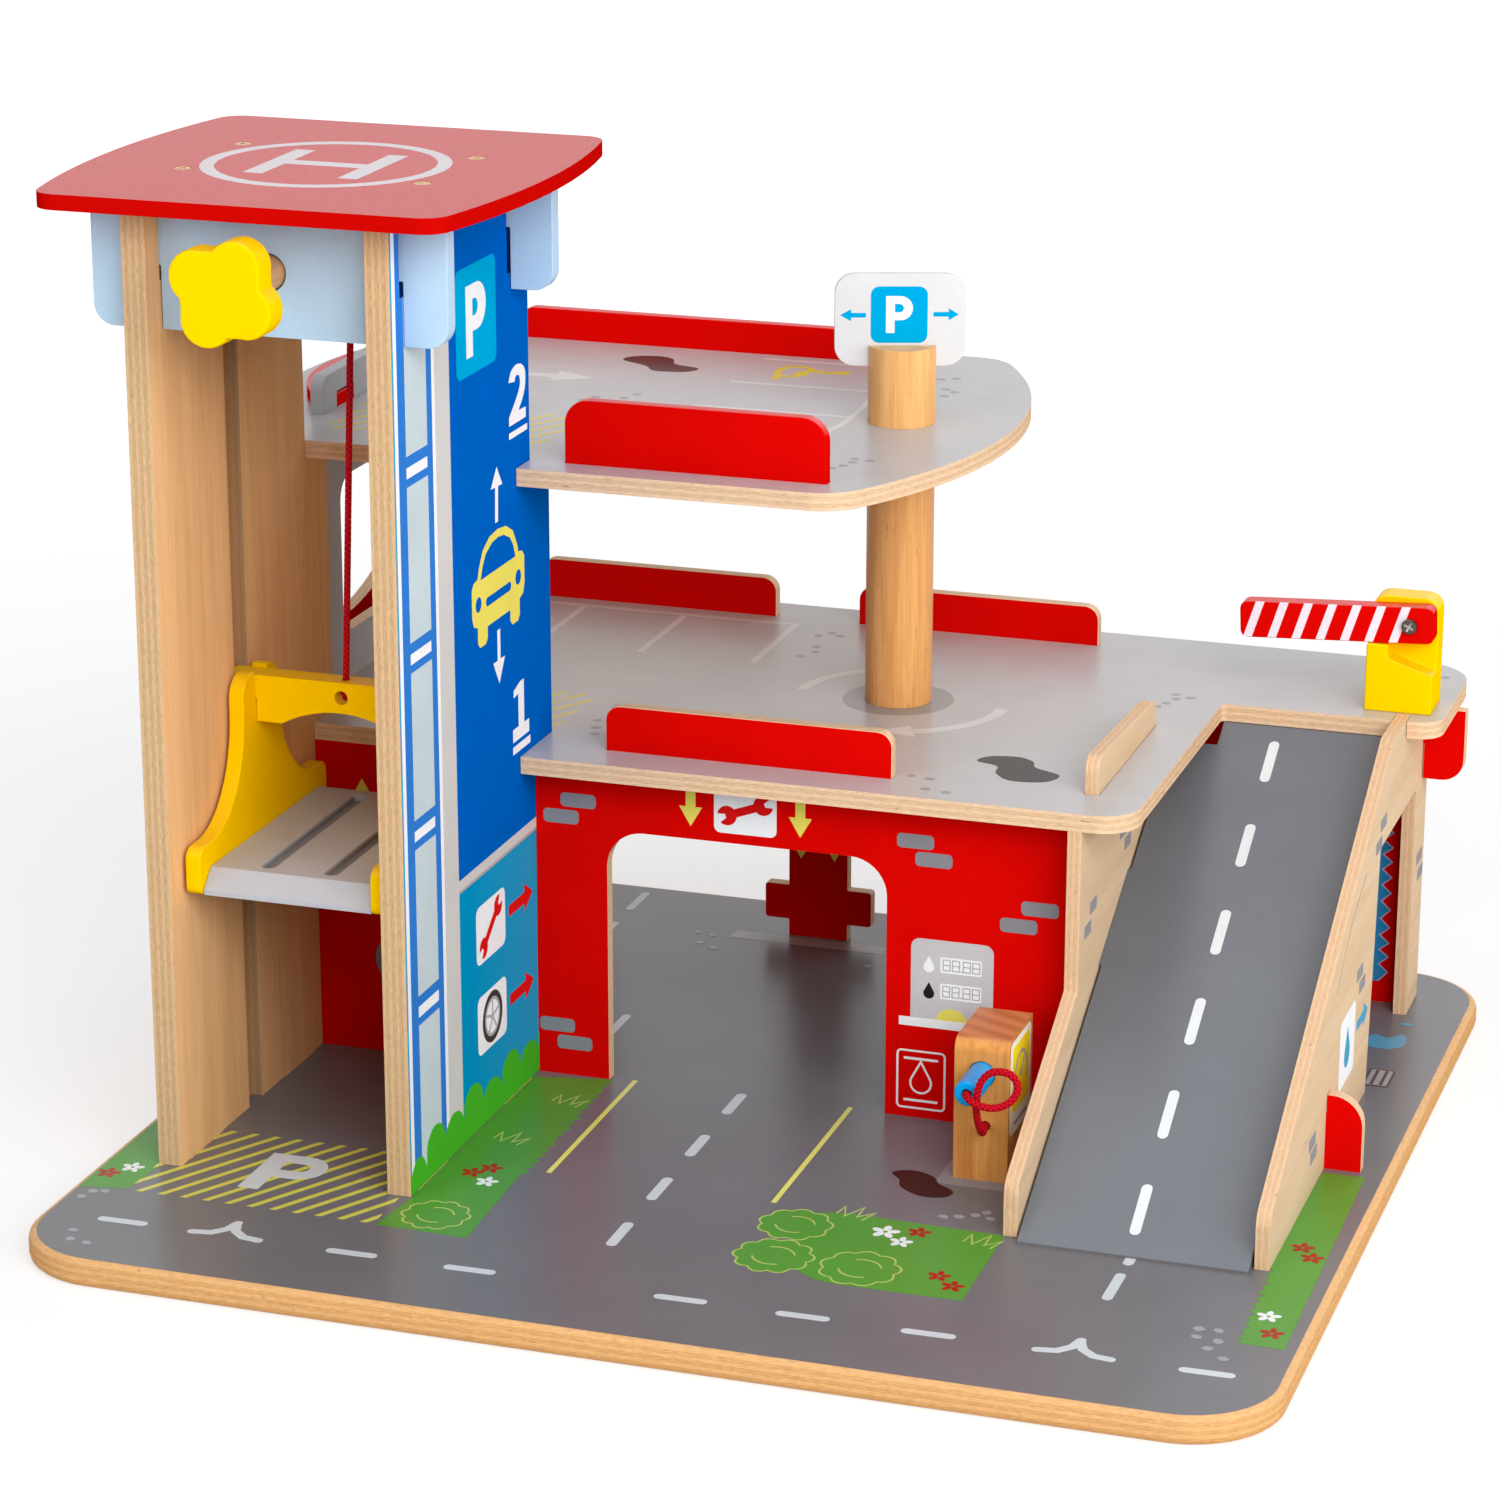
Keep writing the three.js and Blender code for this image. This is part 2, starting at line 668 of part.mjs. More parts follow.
function make_tower_panel(name, material, x, inner_x, slots) {
  const outline = [
    [tower_front_y, base_top],
    [tower_back_y, base_top],
    [tower_back_y, deck_2_z],
    [shoulder_y, deck_2_z],
    [shoulder_y, tower_top_z],
    [tower_front_y, tower_top_z],
  ];
  const half_groove = bar_thickness / 2 + guide_play;
  const cuts = [
    block(
      inner_x - guide_groove_depth,
      inner_x + guide_groove_depth,
      lift_centre_y - half_groove,
      lift_centre_y + half_groove,
      base_top,
      tower_top_z + overrun,
    ),
    block(
      x - overrun,
      x + tower_thickness + overrun,
      front_wall_y - fit_gap,
      front_wall_y + wall_thickness + fit_gap,
      base_top - overrun,
      wall_lap_z,
    ),
  ];
  for (const [y0, y1, floor] of slots)
    cuts.push(block(x - overrun, x + tower_thickness + overrun, y0, y1, floor, tower_top_z + overrun));
  const depth = roof_screw_length - roof_thickness + fit_gap;
  for (const y of roof_screw_ys)
    cuts.push(
      rod_upright(
        x + tower_thickness / 2,
        y,
        screw_radius + fit_gap,
        tower_top_z - depth,
        depth + overrun,
      ),
    );
  piece(name, material, cut(with_tabs(name, facing_side(outline, x, tower_thickness)), ...cuts));
}

function make_cross_board(name, y) {
  const outline = rectangle(
    tower_centre_x - cross_board_half_length,
    cross_board_z,
    tower_centre_x + cross_board_half_length,
    tower_top_z,
    cross_board_corner_radius,
  );
  const laps = [left_panel_x, right_panel_x].map((x) =>
    block(
      x - fit_gap,
      x + tower_thickness + fit_gap,
      y - overrun,
      y + cross_board_thickness + overrun,
      cross_board_z - overrun,
      cross_lap_z,
    ),
  );
  const hole = rod_lengthwise(
    tower_centre_x,
    shaft_z,
    shaft_hole_radius,
    y - overrun,
    cross_board_thickness + 2 * overrun,
  );
  piece(name, pale_blue, cut(facing_front(outline, y, cross_board_thickness), ...laps, hole));
}

const screw_profile = (length) => [
  [0, -length],
  [screw_radius, screw_radius - length],
  [screw_radius, -screw_head_height],
  [screw_head_radius, 0],
  [0, 0],
];

const raised = (profile, height) => profile.map(([radius, z]) => [radius, z + height]);

function make_roof() {
  const bow_radius = (roof_half_depth ** 2 + roof_bow ** 2) / (2 * roof_bow);
  const right_side = bowed_side(
    tower_centre_x + roof_half_width - bow_radius,
    tower_centre_y,
    bow_radius,
    tower_centre_y - roof_half_depth,
    tower_centre_y + roof_half_depth,
    roof_corner_radius,
    roof_corner_radius,
  );
  const outline = [...right_side, ...mirrored(right_side, tower_centre_x)];
  const top = tower_top_z + roof_thickness;
  const hole = [
    [0, tower_top_z - overrun],
    [screw_radius + fit_gap, tower_top_z - overrun],
    [screw_radius + fit_gap, top - screw_head_height - fit_gap],
    [screw_head_radius + fit_gap, top],
    [screw_head_radius + fit_gap, top + overrun],
    [0, top + overrun],
  ];
  const places = [left_panel_x, right_panel_x].flatMap((x) =>
    roof_screw_ys.map((y) => [x + tower_thickness / 2, y]),
  );
  const holes = places.map(([x, y]) => turned_upright(hole, x, y));
  piece("helipad_roof", red_paint, cut(lying(outline, tower_top_z, roof_thickness), ...holes));
  places.forEach(([x, y], i) =>
    piece(`roof_screw_${i + 1}`, brass, turned_upright(raised(screw_profile(roof_screw_length), top), x, y)),
  );
}

// Winch

function make_winch() {
  const shaft = rod_lengthwise(
    tower_centre_x,
    shaft_z,
    shaft_radius,
    shaft_front_y,
    shaft_back_y - shaft_front_y,
  );
  const pin_z = shaft_z - pin_length / 2;
  const pin_hole = rod_upright(
    tower_centre_x,
    pin_y,
    pin_radius + fit_gap,
    pin_z - overrun,
    pin_length + 2 * overrun,
  );
  piece("winch_shaft", natural_wood, cut(shaft, pin_hole));
  piece("winch_pin", steel, rod_upright(tower_centre_x, pin_y, pin_radius, pin_z, pin_length));
  piece("winch_knob", yellow_paint, cut(make_knob(), knob_seat()));
  piece("rope_winding", red_rope, make_winding());
}

function knob_seat() {
  const seat_y = shaft_front_y - fit_gap;
  const depth = knob_back_y - seat_y;
  return rod_lengthwise(tower_centre_x, shaft_z, shaft_radius + fit_gap, seat_y, depth + overrun);
}

// Four round lobes that run into each other, as a clover leaf.
function make_knob() {
  const valley = Math.PI / 4;
  const valley_reach = knob_lobe_offset * Math.sin(valley);
  const half_sweep = Math.PI - Math.asin(valley_reach / knob_lobe_radius) - valley;
  const lobes = [0, 1, 2, 3].map((lobe) => knob_turn + (lobe * Math.PI) / 2);
  const outline = lobes.flatMap((angle) =>
    arc(
      tower_centre_x + knob_lobe_offset * Math.cos(angle),
      shaft_z + knob_lobe_offset * Math.sin(angle),
      knob_lobe_radius,
      angle - half_sweep,
      angle + half_sweep,
    ).slice(1),
  );
  const bevel = {
    bevelEnabled: true,
    bevelThickness: knob_edge_radius,
    bevelSize: knob_edge_radius,
    bevelOffset: -knob_edge_radius,
    bevelSegments: 2,
  };
  const place = [0, knob_back_y - knob_edge_radius, 0];
  const flat_part = knob_thickness - 2 * knob_edge_radius;
  return solid(extruded(outline, flat_part, [across_x, upward, forward], place, bevel));
}

// The rope's turns round the shaft, one unbroken line with a straight end at each side.
function winding_points() {
  const steps = Math.round(winding_turns * winding_steps);
  const turns = Array.from({ length: steps + 1 }, (_, step) => {
    const turn = step / winding_steps;
    const angle = 2 * Math.PI * turn;
    return [
      tower_centre_x + winding_radius * Math.cos(angle),
      lift_centre_y + winding_pitch * turn,
      shaft_z + winding_radius * Math.sin(angle),
    ];
  });
  const [first, last] = [turns.at(0), turns.at(-1)];
  return [
    [first[0], first[1], first[2] - winding_tail],
    ...turns,
    [last[0], last[1], last[2] - winding_tail],
  ];
}

function make_winding() {
  const points = winding_points();
  const far_apart = winding_steps / 2;
  let least = Infinity;
  points.forEach((a, i) =>
    points.slice(i + far_apart).forEach((b) => {
      least = Math.min(least, Math.hypot(a[0] - b[0], a[1] - b[1], a[2] - b[2]));
    }),
  );
  console.log(`rope winding: ${winding_turns} turns, least gap ${(least - 2 * rope_radius).toFixed(2)} mm`);
  return tube(points, rope_radius, winding_sides, points.length - 1);
}

function make_lift_rope() {
  const top = [tower_centre_x + winding_radius, lift_centre_y, rope_top_z];
  const bottom = [knot_x, lift_centre_y, rope_bottom_z];
  const flat_end = 2 * rope_radius;
  const below_top = [top[0], top[1], top[2] - flat_end];
  const above_bottom = [bottom[0], bottom[1], bottom[2] + flat_end];
  const points = [top, below_top, above_bottom, bottom];
  piece("lift_rope", red_rope, tube(points, rope_radius, rope_sides, rope_steps));
}

// Lift car

function cheek_outline() {
  const nose_z = lift_bottom_z + cheek_nose_height;
  const sweep_y = cheek_neck_half_width + cheek_sweep_width;
  const sweep_z = nose_z + cheek_sweep_height;
  const steps = round_sides(cheek_sweep_height) / 4;
  const sweep = Array.from({ length: steps + 1 }, (_, step) => {
    const angle = (step / steps) * (Math.PI / 2);
    return [sweep_y - cheek_sweep_width * Math.sin(angle), sweep_z - cheek_sweep_height * Math.cos(angle)];
  });
  const half = [
    [cheek_half_length, lift_bottom_z, cheek_foot_radius],
    [cheek_half_length, nose_z, cheek_nose_radius],
    ...sweep,
    [cheek_neck_half_width, lift_top_z + cheek_crown, cheek_top_radius],
  ];
  const other_half = half.map(([y, z, radius]) => [-y, z, radius]).reverse();
  return rounded([...half, ...other_half]).map(([y, z]) => [y + lift_centre_y, z]);
}

function make_cheek(name, x, inner_x) {
  const lap = block(
    x - overrun,
    x + cheek_thickness + overrun,
    bar_y - fit_gap,
    bar_y + bar_thickness + fit_gap,
    bar_lap_z - fit_gap,
    lift_top_z + overrun,
  );
  const tongue_z = lift_bottom_z + (platform_thickness - platform_tongue_thickness) / 2;
  const half_length = platform_half_length - platform_tongue_inset + fit_gap;
  const dado = block(
    inner_x - platform_tongue - fit_gap,
    inner_x + platform_tongue + fit_gap,
    lift_centre_y - half_length,
    lift_centre_y + half_length,
    tongue_z - fit_gap,
    tongue_z + platform_tongue_thickness + fit_gap,
  );
  piece(name, yellow_paint, cut(facing_side(cheek_outline(), x, cheek_thickness), lap, dado));
}

function make_platform() {
  const front = lift_centre_y - platform_half_length;
  const back = lift_centre_y + platform_half_length;
  const lip_z = lift_bottom_z + platform_lip;
  const outline = [
    [front, lift_bottom_z],
    [back, lift_bottom_z],
    [back, lip_z],
    [back - platform_chamfer, platform_top_z],
    [front + platform_chamfer, platform_top_z],
    [front, lip_z],
  ];
  const width = right_cheek_x - left_cheek_inner_x;
  const board = facing_side(outline, left_cheek_inner_x + fit_gap, width - 2 * fit_gap);
  const tongue_z = lift_bottom_z + (platform_thickness - platform_tongue_thickness) / 2;
  const tongue = block(
    left_cheek_inner_x - platform_tongue,
    right_cheek_x + platform_tongue,
    front + platform_tongue_inset,
    back - platform_tongue_inset,
    tongue_z,
    tongue_z + platform_tongue_thickness,
  );
  const tracks = [-1, 1].map((side) => {
    const x = tower_centre_x + track_offset + (side * track_spacing) / 2;
    const outline = rectangle(
      x - track_width / 2,
      lift_centre_y - track_length / 2,
      x + track_width / 2,
      lift_centre_y + track_length / 2,
      track_width / 2 - fit_gap,
      track_width / 2 - fit_gap,
    );
    return lying(outline, platform_top_z - track_depth, track_depth + overrun);
  });
  piece("lift_platform", light_grey, cut(join(board, tongue), ...tracks));
}

function make_cross_bar() {
  const arch_radius = (bar_arch_half_width ** 2 + bar_arch_rise ** 2) / (2 * bar_arch_rise);
  const arch_angle = Math.asin(bar_arch_half_width / arch_radius);
  const arch_z = bar_z + bar_arch_rise - arch_radius;
  const upright = Math.PI / 2;
  const outline = [
    [tower_centre_x - bar_half_length, bar_z],
    ...arc(tower_centre_x, arch_z, arch_radius, upright + arch_angle, upright - arch_angle),
    [tower_centre_x + bar_half_length, bar_z],
    [tower_centre_x + bar_half_length, lift_top_z],
    [tower_centre_x - bar_half_length, lift_top_z],
  ];
  const laps = [left_cheek_x, right_cheek_x].map((x) =>
    block(
      x - fit_gap,
      x + cheek_thickness + fit_gap,
      bar_y - overrun,
      bar_y + bar_thickness + overrun,
      bar_z - overrun,
      bar_lap_z,
    ),
  );
  const knot_hole = rod_lengthwise(
    knot_x,
    knot_z,
    knot_hole_radius,
    bar_y - overrun,
    bar_thickness + 2 * overrun,
  );
  const rope_hole = rod_upright(knot_x, lift_centre_y, rope_hole_radius, knot_z, knot_hole_drop + overrun);
  const bar = facing_front(outline, bar_y, bar_thickness);
  piece("lift_cross_bar", yellow_paint, cut(bar, ...laps, knot_hole, rope_hole));
  const knot = new THREE.SphereGeometry(knot_radius, knot_sides, knot_rings);
  piece("rope_knot", red_rope, solid(knot.translate(knot_x, lift_centre_y, knot_z)));
}

// Decks

const fences = {
  deck_2_front_fence: {
    front_y: deck_2_front_fence_y,
    left_x: deck_2_front_fence_left_x,
    length: deck_2_front_fence_length,
    floor: deck_2_top,
    height: deck_2_front_fence_height,
    radius: deck_2_front_fence_radius,
  },
  deck_2_back_fence: {
    front_y: deck_2_back_fence_y,
    left_x: deck_2_back_fence_left_x,
    length: deck_2_back_fence_length,
    floor: deck_2_top,
    height: deck_2_back_fence_height,
    radius: fence_radius,
  },
  deck_1_front_fence: {
    front_y: deck_1_front_fence_y,
    left_x: deck_1_front_fence_left_x,
    length: deck_1_front_fence_length,
    floor: deck_1_top,
    height: deck_1_front_fence_height,
    radius: fence_radius,
  },
  deck_1_back_left_fence: {
    front_y: deck_1_back_fence_y,
    left_x: deck_1_back_left_fence_left_x,
    length: deck_1_back_left_fence_length,
    floor: deck_1_top,
    height: deck_1_back_fence_height,
    radius: fence_radius,
  },
  deck_1_back_right_fence: {
    front_y: deck_1_back_fence_y,
    left_x: deck_1_back_right_fence_left_x,
    length: deck_1_back_right_fence_length,
    floor: deck_1_top,
    height: deck_1_back_fence_height,
    radius: fence_radius,
  },
};

const fence_groove = ({ front_y, left_x, length, floor }) =>
  groove(left_x, left_x + length, front_y, front_y + wall_thickness, floor);

const side_wall_front_y = deck_bow_centre_y - side_wall_half_length;
const side_wall_back_y = deck_bow_centre_y + side_wall_half_length;
const side_wall_inner_x = side_wall_x + wall_thickness;

// Where the side wall's legs stand in the first deck and reach into the second.
const leg_tabs = [
  [side_wall_x, side_wall_inner_x, side_wall_front_y, side_wall_front_y + side_wall_leg],
  [side_wall_x, side_wall_inner_x, side_wall_back_y - side_wall_leg, side_wall_back_y],
];

const deck_left_side = (front_radius) =>
  mirrored(
    bowed_side(
      deck_left_centre_x,
      deck_bow_centre_y,
      deck_bow_radius,
      inner_front_y,
      deck_back_y,
      front_radius,
      deck_left_corner_radius,
    ),
    deck_left_centre_x,
  );

function deck_1_outline() {
  return [
    ...deck_left_side(fence_radius),
    ...rounded([
      [deck_step_x, inner_front_y],
      [deck_step_x, deck_front_y],
      [deck_1_edge_x, deck_front_y, deck_1_front_radius],
      [deck_1_edge_x, notch_y, notch_radius],
      [deck_1_right_x, notch_y, deck_1_nose_radius],
      [deck_1_right_x, deck_back_y, deck_1_back_radius],
      [deck_left_centre_x, deck_back_y],
    ]),
  ];
}

function make_deck_1() {
  const cuts = Object.values(fences)
    .filter(({ floor }) => floor === deck_1_top)
    .map(fence_groove);
  for (const x of [left_panel_x, right_panel_x])
    cuts.push(
      block(
        x - fit_gap,
        x + tower_thickness + fit_gap,
        inner_front_y - overrun,
        tower_back_y + fit_gap,
        deck_1_z - overrun,
        deck_1_top + overrun,
      ),
    );
  cuts.push(
    block(
      right_ramp_panel_x - fit_gap,
      right_ramp_panel_outer_x + fit_gap,
      notch_y - overrun,
      notch_y + deck_slot_depth,
      deck_1_z - overrun,
      deck_1_top + overrun,
    ),
    rod_upright(
      post_x,
      deck_bow_centre_y,
      spigot_radius + fit_gap,
      deck_1_z - overrun,
      deck_thickness + 2 * overrun,
    ),
    groove(
      wood_fence_left_x,
      wood_fence_left_x + wall_thickness,
      wood_fence_front_y,
      wood_fence_front_y + wood_fence_length,
      deck_1_top,
    ),
    groove(
      low_fence_x,
      low_fence_x + wall_thickness,
      deck_bow_centre_y - kerb_half_length,
      deck_bow_centre_y + kerb_half_length,
      deck_1_top,
    ),
    ...leg_tabs.map((leg) => groove(...leg, deck_1_top)),
  );
  piece("deck_1", deck_grey, cut(lying(deck_1_outline(), deck_1_z, deck_thickness), ...cuts));
}

function make_deck_2() {
  const outline = [
    ...deck_left_side(fence_radius),
    [deck_step_x, inner_front_y],
    [deck_step_x, deck_front_y],
    ...bowed_side(
      deck_2_right_x - deck_bow_radius,
      deck_bow_centre_y,
      deck_bow_radius,
      deck_front_y,
      deck_back_y,
      deck_2_corner_radius,
      deck_2_corner_radius,
    ),
  ];
  const cuts = Object.values(fences)
    .filter(({ floor }) => floor === deck_2_top)
    .map(fence_groove);
  cuts.push(
    rod_upright(
      post_x,
      deck_bow_centre_y,
      spigot_radius + fit_gap,
      deck_2_z - overrun,
      deck_thickness + 2 * overrun,
    ),
    groove(side_wall_x, side_wall_inner_x, side_wall_front_y, side_wall_back_y, deck_2_top),
  );
  piece("deck_2", deck_grey, cut(lying(outline, deck_2_z, deck_thickness), ...cuts));
}

function make_fences() {
  for (const [name, { front_y, left_x, length, floor, height, radius }] of Object.entries(fences))
    piece(
      name,
      red_paint,
      facing_front(fence_outline(left_x, length, floor, height, radius), front_y, wall_thickness),
    );
  const wood_fence_back_y = wood_fence_front_y + wood_fence_length;
  const wood = rounded([
    [wood_fence_front_y, deck_1_top - groove_depth],
    [wood_fence_back_y, deck_1_top - groove_depth],
    [wood_fence_back_y, deck_1_top + wood_fence_back_height, fence_radius],
    [wood_fence_front_y, deck_1_top + wood_fence_front_height, fence_radius],
  ]);
  piece("wood_fence", natural_wood, facing_side(wood, wood_fence_left_x, wall_thickness));
}

// Walls between the base and the first deck

function make_front_wall() {
  const ear_top = base_top + front_ear_height;
  const crossing_top = base_top + ramp_crossing_height;
  const outline = rounded([
    [front_wall_left_x, base_top],
    [arch_left_x, base_top],
    [arch_left_x, arch_top_z, arch_radius],
    [arch_right_x, arch_top_z, arch_radius],
    [arch_right_x, base_top],
    [front_wall_right_x, base_top],
    [front_wall_right_x, ear_top, front_ear_radius],
    [right_ramp_panel_outer_x + fit_gap, ear_top],
    [right_ramp_panel_outer_x + fit_gap, ramp_lap_z],
    [right_ramp_panel_x - fit_gap, ramp_lap_z],
    [right_ramp_panel_x - fit_gap, crossing_top],
    [ramp_bay_left_x + fit_gap, crossing_top],
    [ramp_bay_left_x + fit_gap, ramp_lap_z],
    [left_ramp_panel_x - fit_gap, ramp_lap_z],
    [left_ramp_panel_x - fit_gap, deck_1_z],
    [front_wall_left_x, deck_1_z],
  ]);
  const laps = [left_panel_x, right_panel_x].map((x) =>
    block(
      x - fit_gap,
      x + tower_thickness + fit_gap,
      front_wall_y - overrun,
      front_wall_y + wall_thickness + overrun,
      wall_lap_z - fit_gap,
      deck_1_z + overrun,
    ),
  );
  const wall = with_tabs("front_wall", facing_front(outline, front_wall_y, wall_thickness));
  piece("front_wall", red_paint, cut(wall, ...laps));
}

function make_back_wall() {
  const ear_z = deck_1_z - back_ear_height;
  const low_arm = column_arm_low_z;
  const high_arm = column_arm_high_z;
  const outline = rounded([
    [front_wall_left_x, base_top],
    [back_opening_left_x, base_top],
    [back_opening_left_x, back_opening_top_z, back_opening_radius],
    [column_left_x, back_opening_top_z, back_opening_radius],
    [column_left_x, high_arm],
    [column_left_x - column_arm, high_arm, column_arm_radius],
    [column_left_x - column_arm, low_arm, column_arm_radius],
    [column_left_x, low_arm],
    [column_left_x, base_top],
    [column_right_x, base_top],
    [column_right_x, low_arm],
    [column_right_x + column_arm, low_arm, column_arm_radius],
    [column_right_x + column_arm, high_arm, column_arm_radius],
    [column_right_x, high_arm],
    [column_right_x, back_opening_top_z, back_opening_radius],
    [back_opening_right_x, back_opening_top_z, back_opening_radius],
    [back_opening_right_x, base_top],
    [left_ramp_panel_x - fit_gap, base_top],
    [left_ramp_panel_x - fit_gap, wall_lap_z],
    [ramp_bay_left_x + fit_gap, wall_lap_z],
    [ramp_bay_left_x + fit_gap, base_top],
    [right_ramp_panel_x - fit_gap, base_top],
    [right_ramp_panel_x - fit_gap, back_lap_z],
    [right_ramp_panel_outer_x + fit_gap, back_lap_z],
    [right_ramp_panel_outer_x + fit_gap, ear_z],
    [back_wall_right_x, ear_z, back_ear_radius],
    [back_wall_right_x, deck_1_z],
    [front_wall_left_x, deck_1_z],
  ]);
  piece("back_wall", red_paint, with_tabs("back_wall", facing_front(outline, back_wall_y, wall_thickness)));
}

// Ramp

const ramp_top = (y) => ramp_foot_z + ramp_slope * (y - ramp_foot_y);

// A slice of the ramp's section between two places, grown by a gap all round.
function ramp_slice(start_y, end_y, gap) {
  const y0 = start_y - gap;
  const y1 = end_y + gap;
  const lift = gap * Math.hypot(1, ramp_slope);
  return [
    [y0, ramp_top(y0) - ramp_drop - lift],
    [y1, ramp_top(y1) - ramp_drop - lift],
    [y1, ramp_top(y1) + lift],
    [y0, ramp_top(y0) + lift],
  ];
}

function make_ramp() {
  const head_y = notch_y + ramp_seat;
  const head_z = deck_1_z - fit_gap;
  const section = [
    [ramp_foot_y, base_top],
    [ramp_foot_y + (ramp_drop - ramp_toe) / ramp_slope, base_top],
    [head_y, ramp_top(head_y) - ramp_drop],
    [head_y, head_z],
    [ramp_foot_y + (head_z - ramp_foot_z) / ramp_slope, head_z],
    [ramp_foot_y, ramp_foot_z],
  ];
  const board = facing_side(section, ramp_left_x, ramp_width);
  const tab = facing_side(
    ramp_slice(ramp_tab_start_y, ramp_tab_end_y, 0),
    ramp_bay_left_x - ramp_tab_reach,
    ramp_bay_width + 2 * ramp_tab_reach,
  );
  const step = block(
    ramp_left_x - overrun,
    ramp_left_x + ramp_step_width,
    notch_y - ramp_step_length,
    head_y + overrun,
    base_top,
    deck_1_top,
  );
  piece("ramp_board", dark_grey, cut(join(board, tab), step));
}

// The blind mortises for the ramp's tabs, both in one cut across the bay between the panels.
function ramp_tab_mortises() {
  const slice = ramp_slice(ramp_tab_start_y, ramp_tab_end_y, fit_gap);
  const depth = ramp_tab_reach + fit_gap;
  return facing_side(slice, ramp_bay_left_x - depth, ramp_bay_width + 2 * depth);
}

const panel_top = (y) => panel_front_z + panel_slope * (y - panel_front_y);

// The open archway in a ramp panel, as corners from its front foot round to its back foot.
function panel_archway() {
  const top = base_top + panel_opening_height;
  return [
    [panel_opening_y, base_top],
    [panel_opening_y + panel_opening_lean, top, panel_opening_radius],
    [panel_leg_y, top, panel_opening_radius],
    [panel_leg_y, base_top],
  ];
}

function make_ramp_panels() {
  const knee_y = deck_front_y;
  const left_outline = rounded([
    [panel_front_y, base_top],
    ...panel_archway(),
    [panel_back_y, base_top],
    [panel_back_y, deck_1_z],
    [knee_y, deck_1_z],
    [knee_y, panel_top(knee_y)],
    [panel_front_y, panel_front_z, panel_front_radius],
  ]);
  const tip_y = notch_y + deck_slot_depth - fit_gap;
  const right_outline = rounded([
    [panel_front_y, base_top],
    ...panel_archway(),
    [panel_back_y, base_top],
    [panel_back_y, deck_1_z],
    [tip_y, deck_1_z],
    [tip_y, deck_1_top],
    [panel_crest_y, deck_1_top],
    [panel_front_y, panel_front_z, panel_front_radius],
  ]);
  const front_lap = (x) =>
    block(
      x - overrun,
      x + wall_thickness + overrun,
      front_wall_y - fit_gap,
      front_wall_y + wall_thickness + fit_gap,
      base_top - overrun,
      ramp_lap_z + fit_gap,
    );
  const back_lap = (x, z) =>
    block(
      x - overrun,
      x + wall_thickness + overrun,
      back_wall_y - fit_gap,
      back_wall_y + wall_thickness + fit_gap,
      z - fit_gap,
      deck_1_z + overrun,
    );
  const left = with_tabs("ramp_left_panel", facing_side(left_outline, left_ramp_panel_x, wall_thickness));
  const right = with_tabs("ramp_right_panel", facing_side(right_outline, right_ramp_panel_x, wall_thickness));
  const left_cuts = [
    front_lap(left_ramp_panel_x),
    back_lap(left_ramp_panel_x, wall_lap_z),
    ramp_tab_mortises(),
  ];
  const right_cuts = [
    front_lap(right_ramp_panel_x),
    back_lap(right_ramp_panel_x, back_lap_z),
    ramp_tab_mortises(),
  ];
  piece("ramp_left_panel", natural_wood, cut(left, ...left_cuts));
  piece("ramp_right_panel", natural_wood, cut(right, ...right_cuts));
}

// Side wall, fence and kerbs at the left

function make_side_wall() {
  const wall = facing_side(
    rectangle(side_wall_front_y, deck_1_top, side_wall_back_y, deck_2_z),
    side_wall_x,
    wall_thickness,
  );
  const window_outline = rectangle(
    side_wall_front_y + side_wall_leg,
    deck_1_top + side_wall_sill,
    side_wall_back_y - side_wall_leg,
    deck_2_z - side_wall_head,
    side_wall_radius,
    side_wall_radius,
  );
  const opening = facing_side(window_outline, side_wall_x - overrun, wall_thickness + 2 * overrun);
  const feet = leg_tabs.map(([x0, x1, y0, y1]) =>
    block(x0, x1, y0, y1, deck_1_top - groove_depth, deck_1_top + groove_depth),
  );
  piece("side_wall", mid_grey, cut(join(wall, ...feet), opening));
}

const mortises = [
  [side_wall_front_y + mortise_inset, side_wall_front_y + mortise_inset + mortise_length],
  [side_wall_back_y - mortise_inset - mortise_length, side_wall_back_y - mortise_inset],
];

function make_left_fence() {
  const outline = fence_outline(
    side_wall_front_y,
    side_wall_back_y - side_wall_front_y,
    deck_2_top,
    left_fence_height,
    left_fence_radius,
  );
  const holes = mortises.map(([y0, y1]) =>
    block(
      side_wall_x - overrun,
      side_wall_inner_x + overrun,
      y0 - fit_gap,
      y1 + fit_gap,
      deck_2_top,
      deck_2_top + mortise_height,
    ),
  );
  piece("left_fence", mid_grey, cut(facing_side(outline, side_wall_x, wall_thickness), ...holes));
}

// A crescent that lies on the second deck outside the fence, with two tongues through it.
function make_kerb() {
  const radius = (kerb_half_length ** 2 + kerb_width ** 2) / (2 * kerb_width);
  const half_angle = Math.asin(kerb_half_length / radius);
  const straight_x = side_wall_x - fit_gap;
  const centre_x = straight_x - kerb_width + radius;
  const outline = arc(centre_x, deck_bow_centre_y, radius, Math.PI - half_angle, Math.PI + half_angle);
  const tongues = mortises.map(([y0, y1]) =>
    block(straight_x - kerb_width / 4, side_wall_inner_x, y0, y1, deck_2_top, deck_2_top + wall_thickness),
  );
  piece("left_kerb", red_paint, join(lying(outline, deck_2_top, wall_thickness), ...tongues));
}

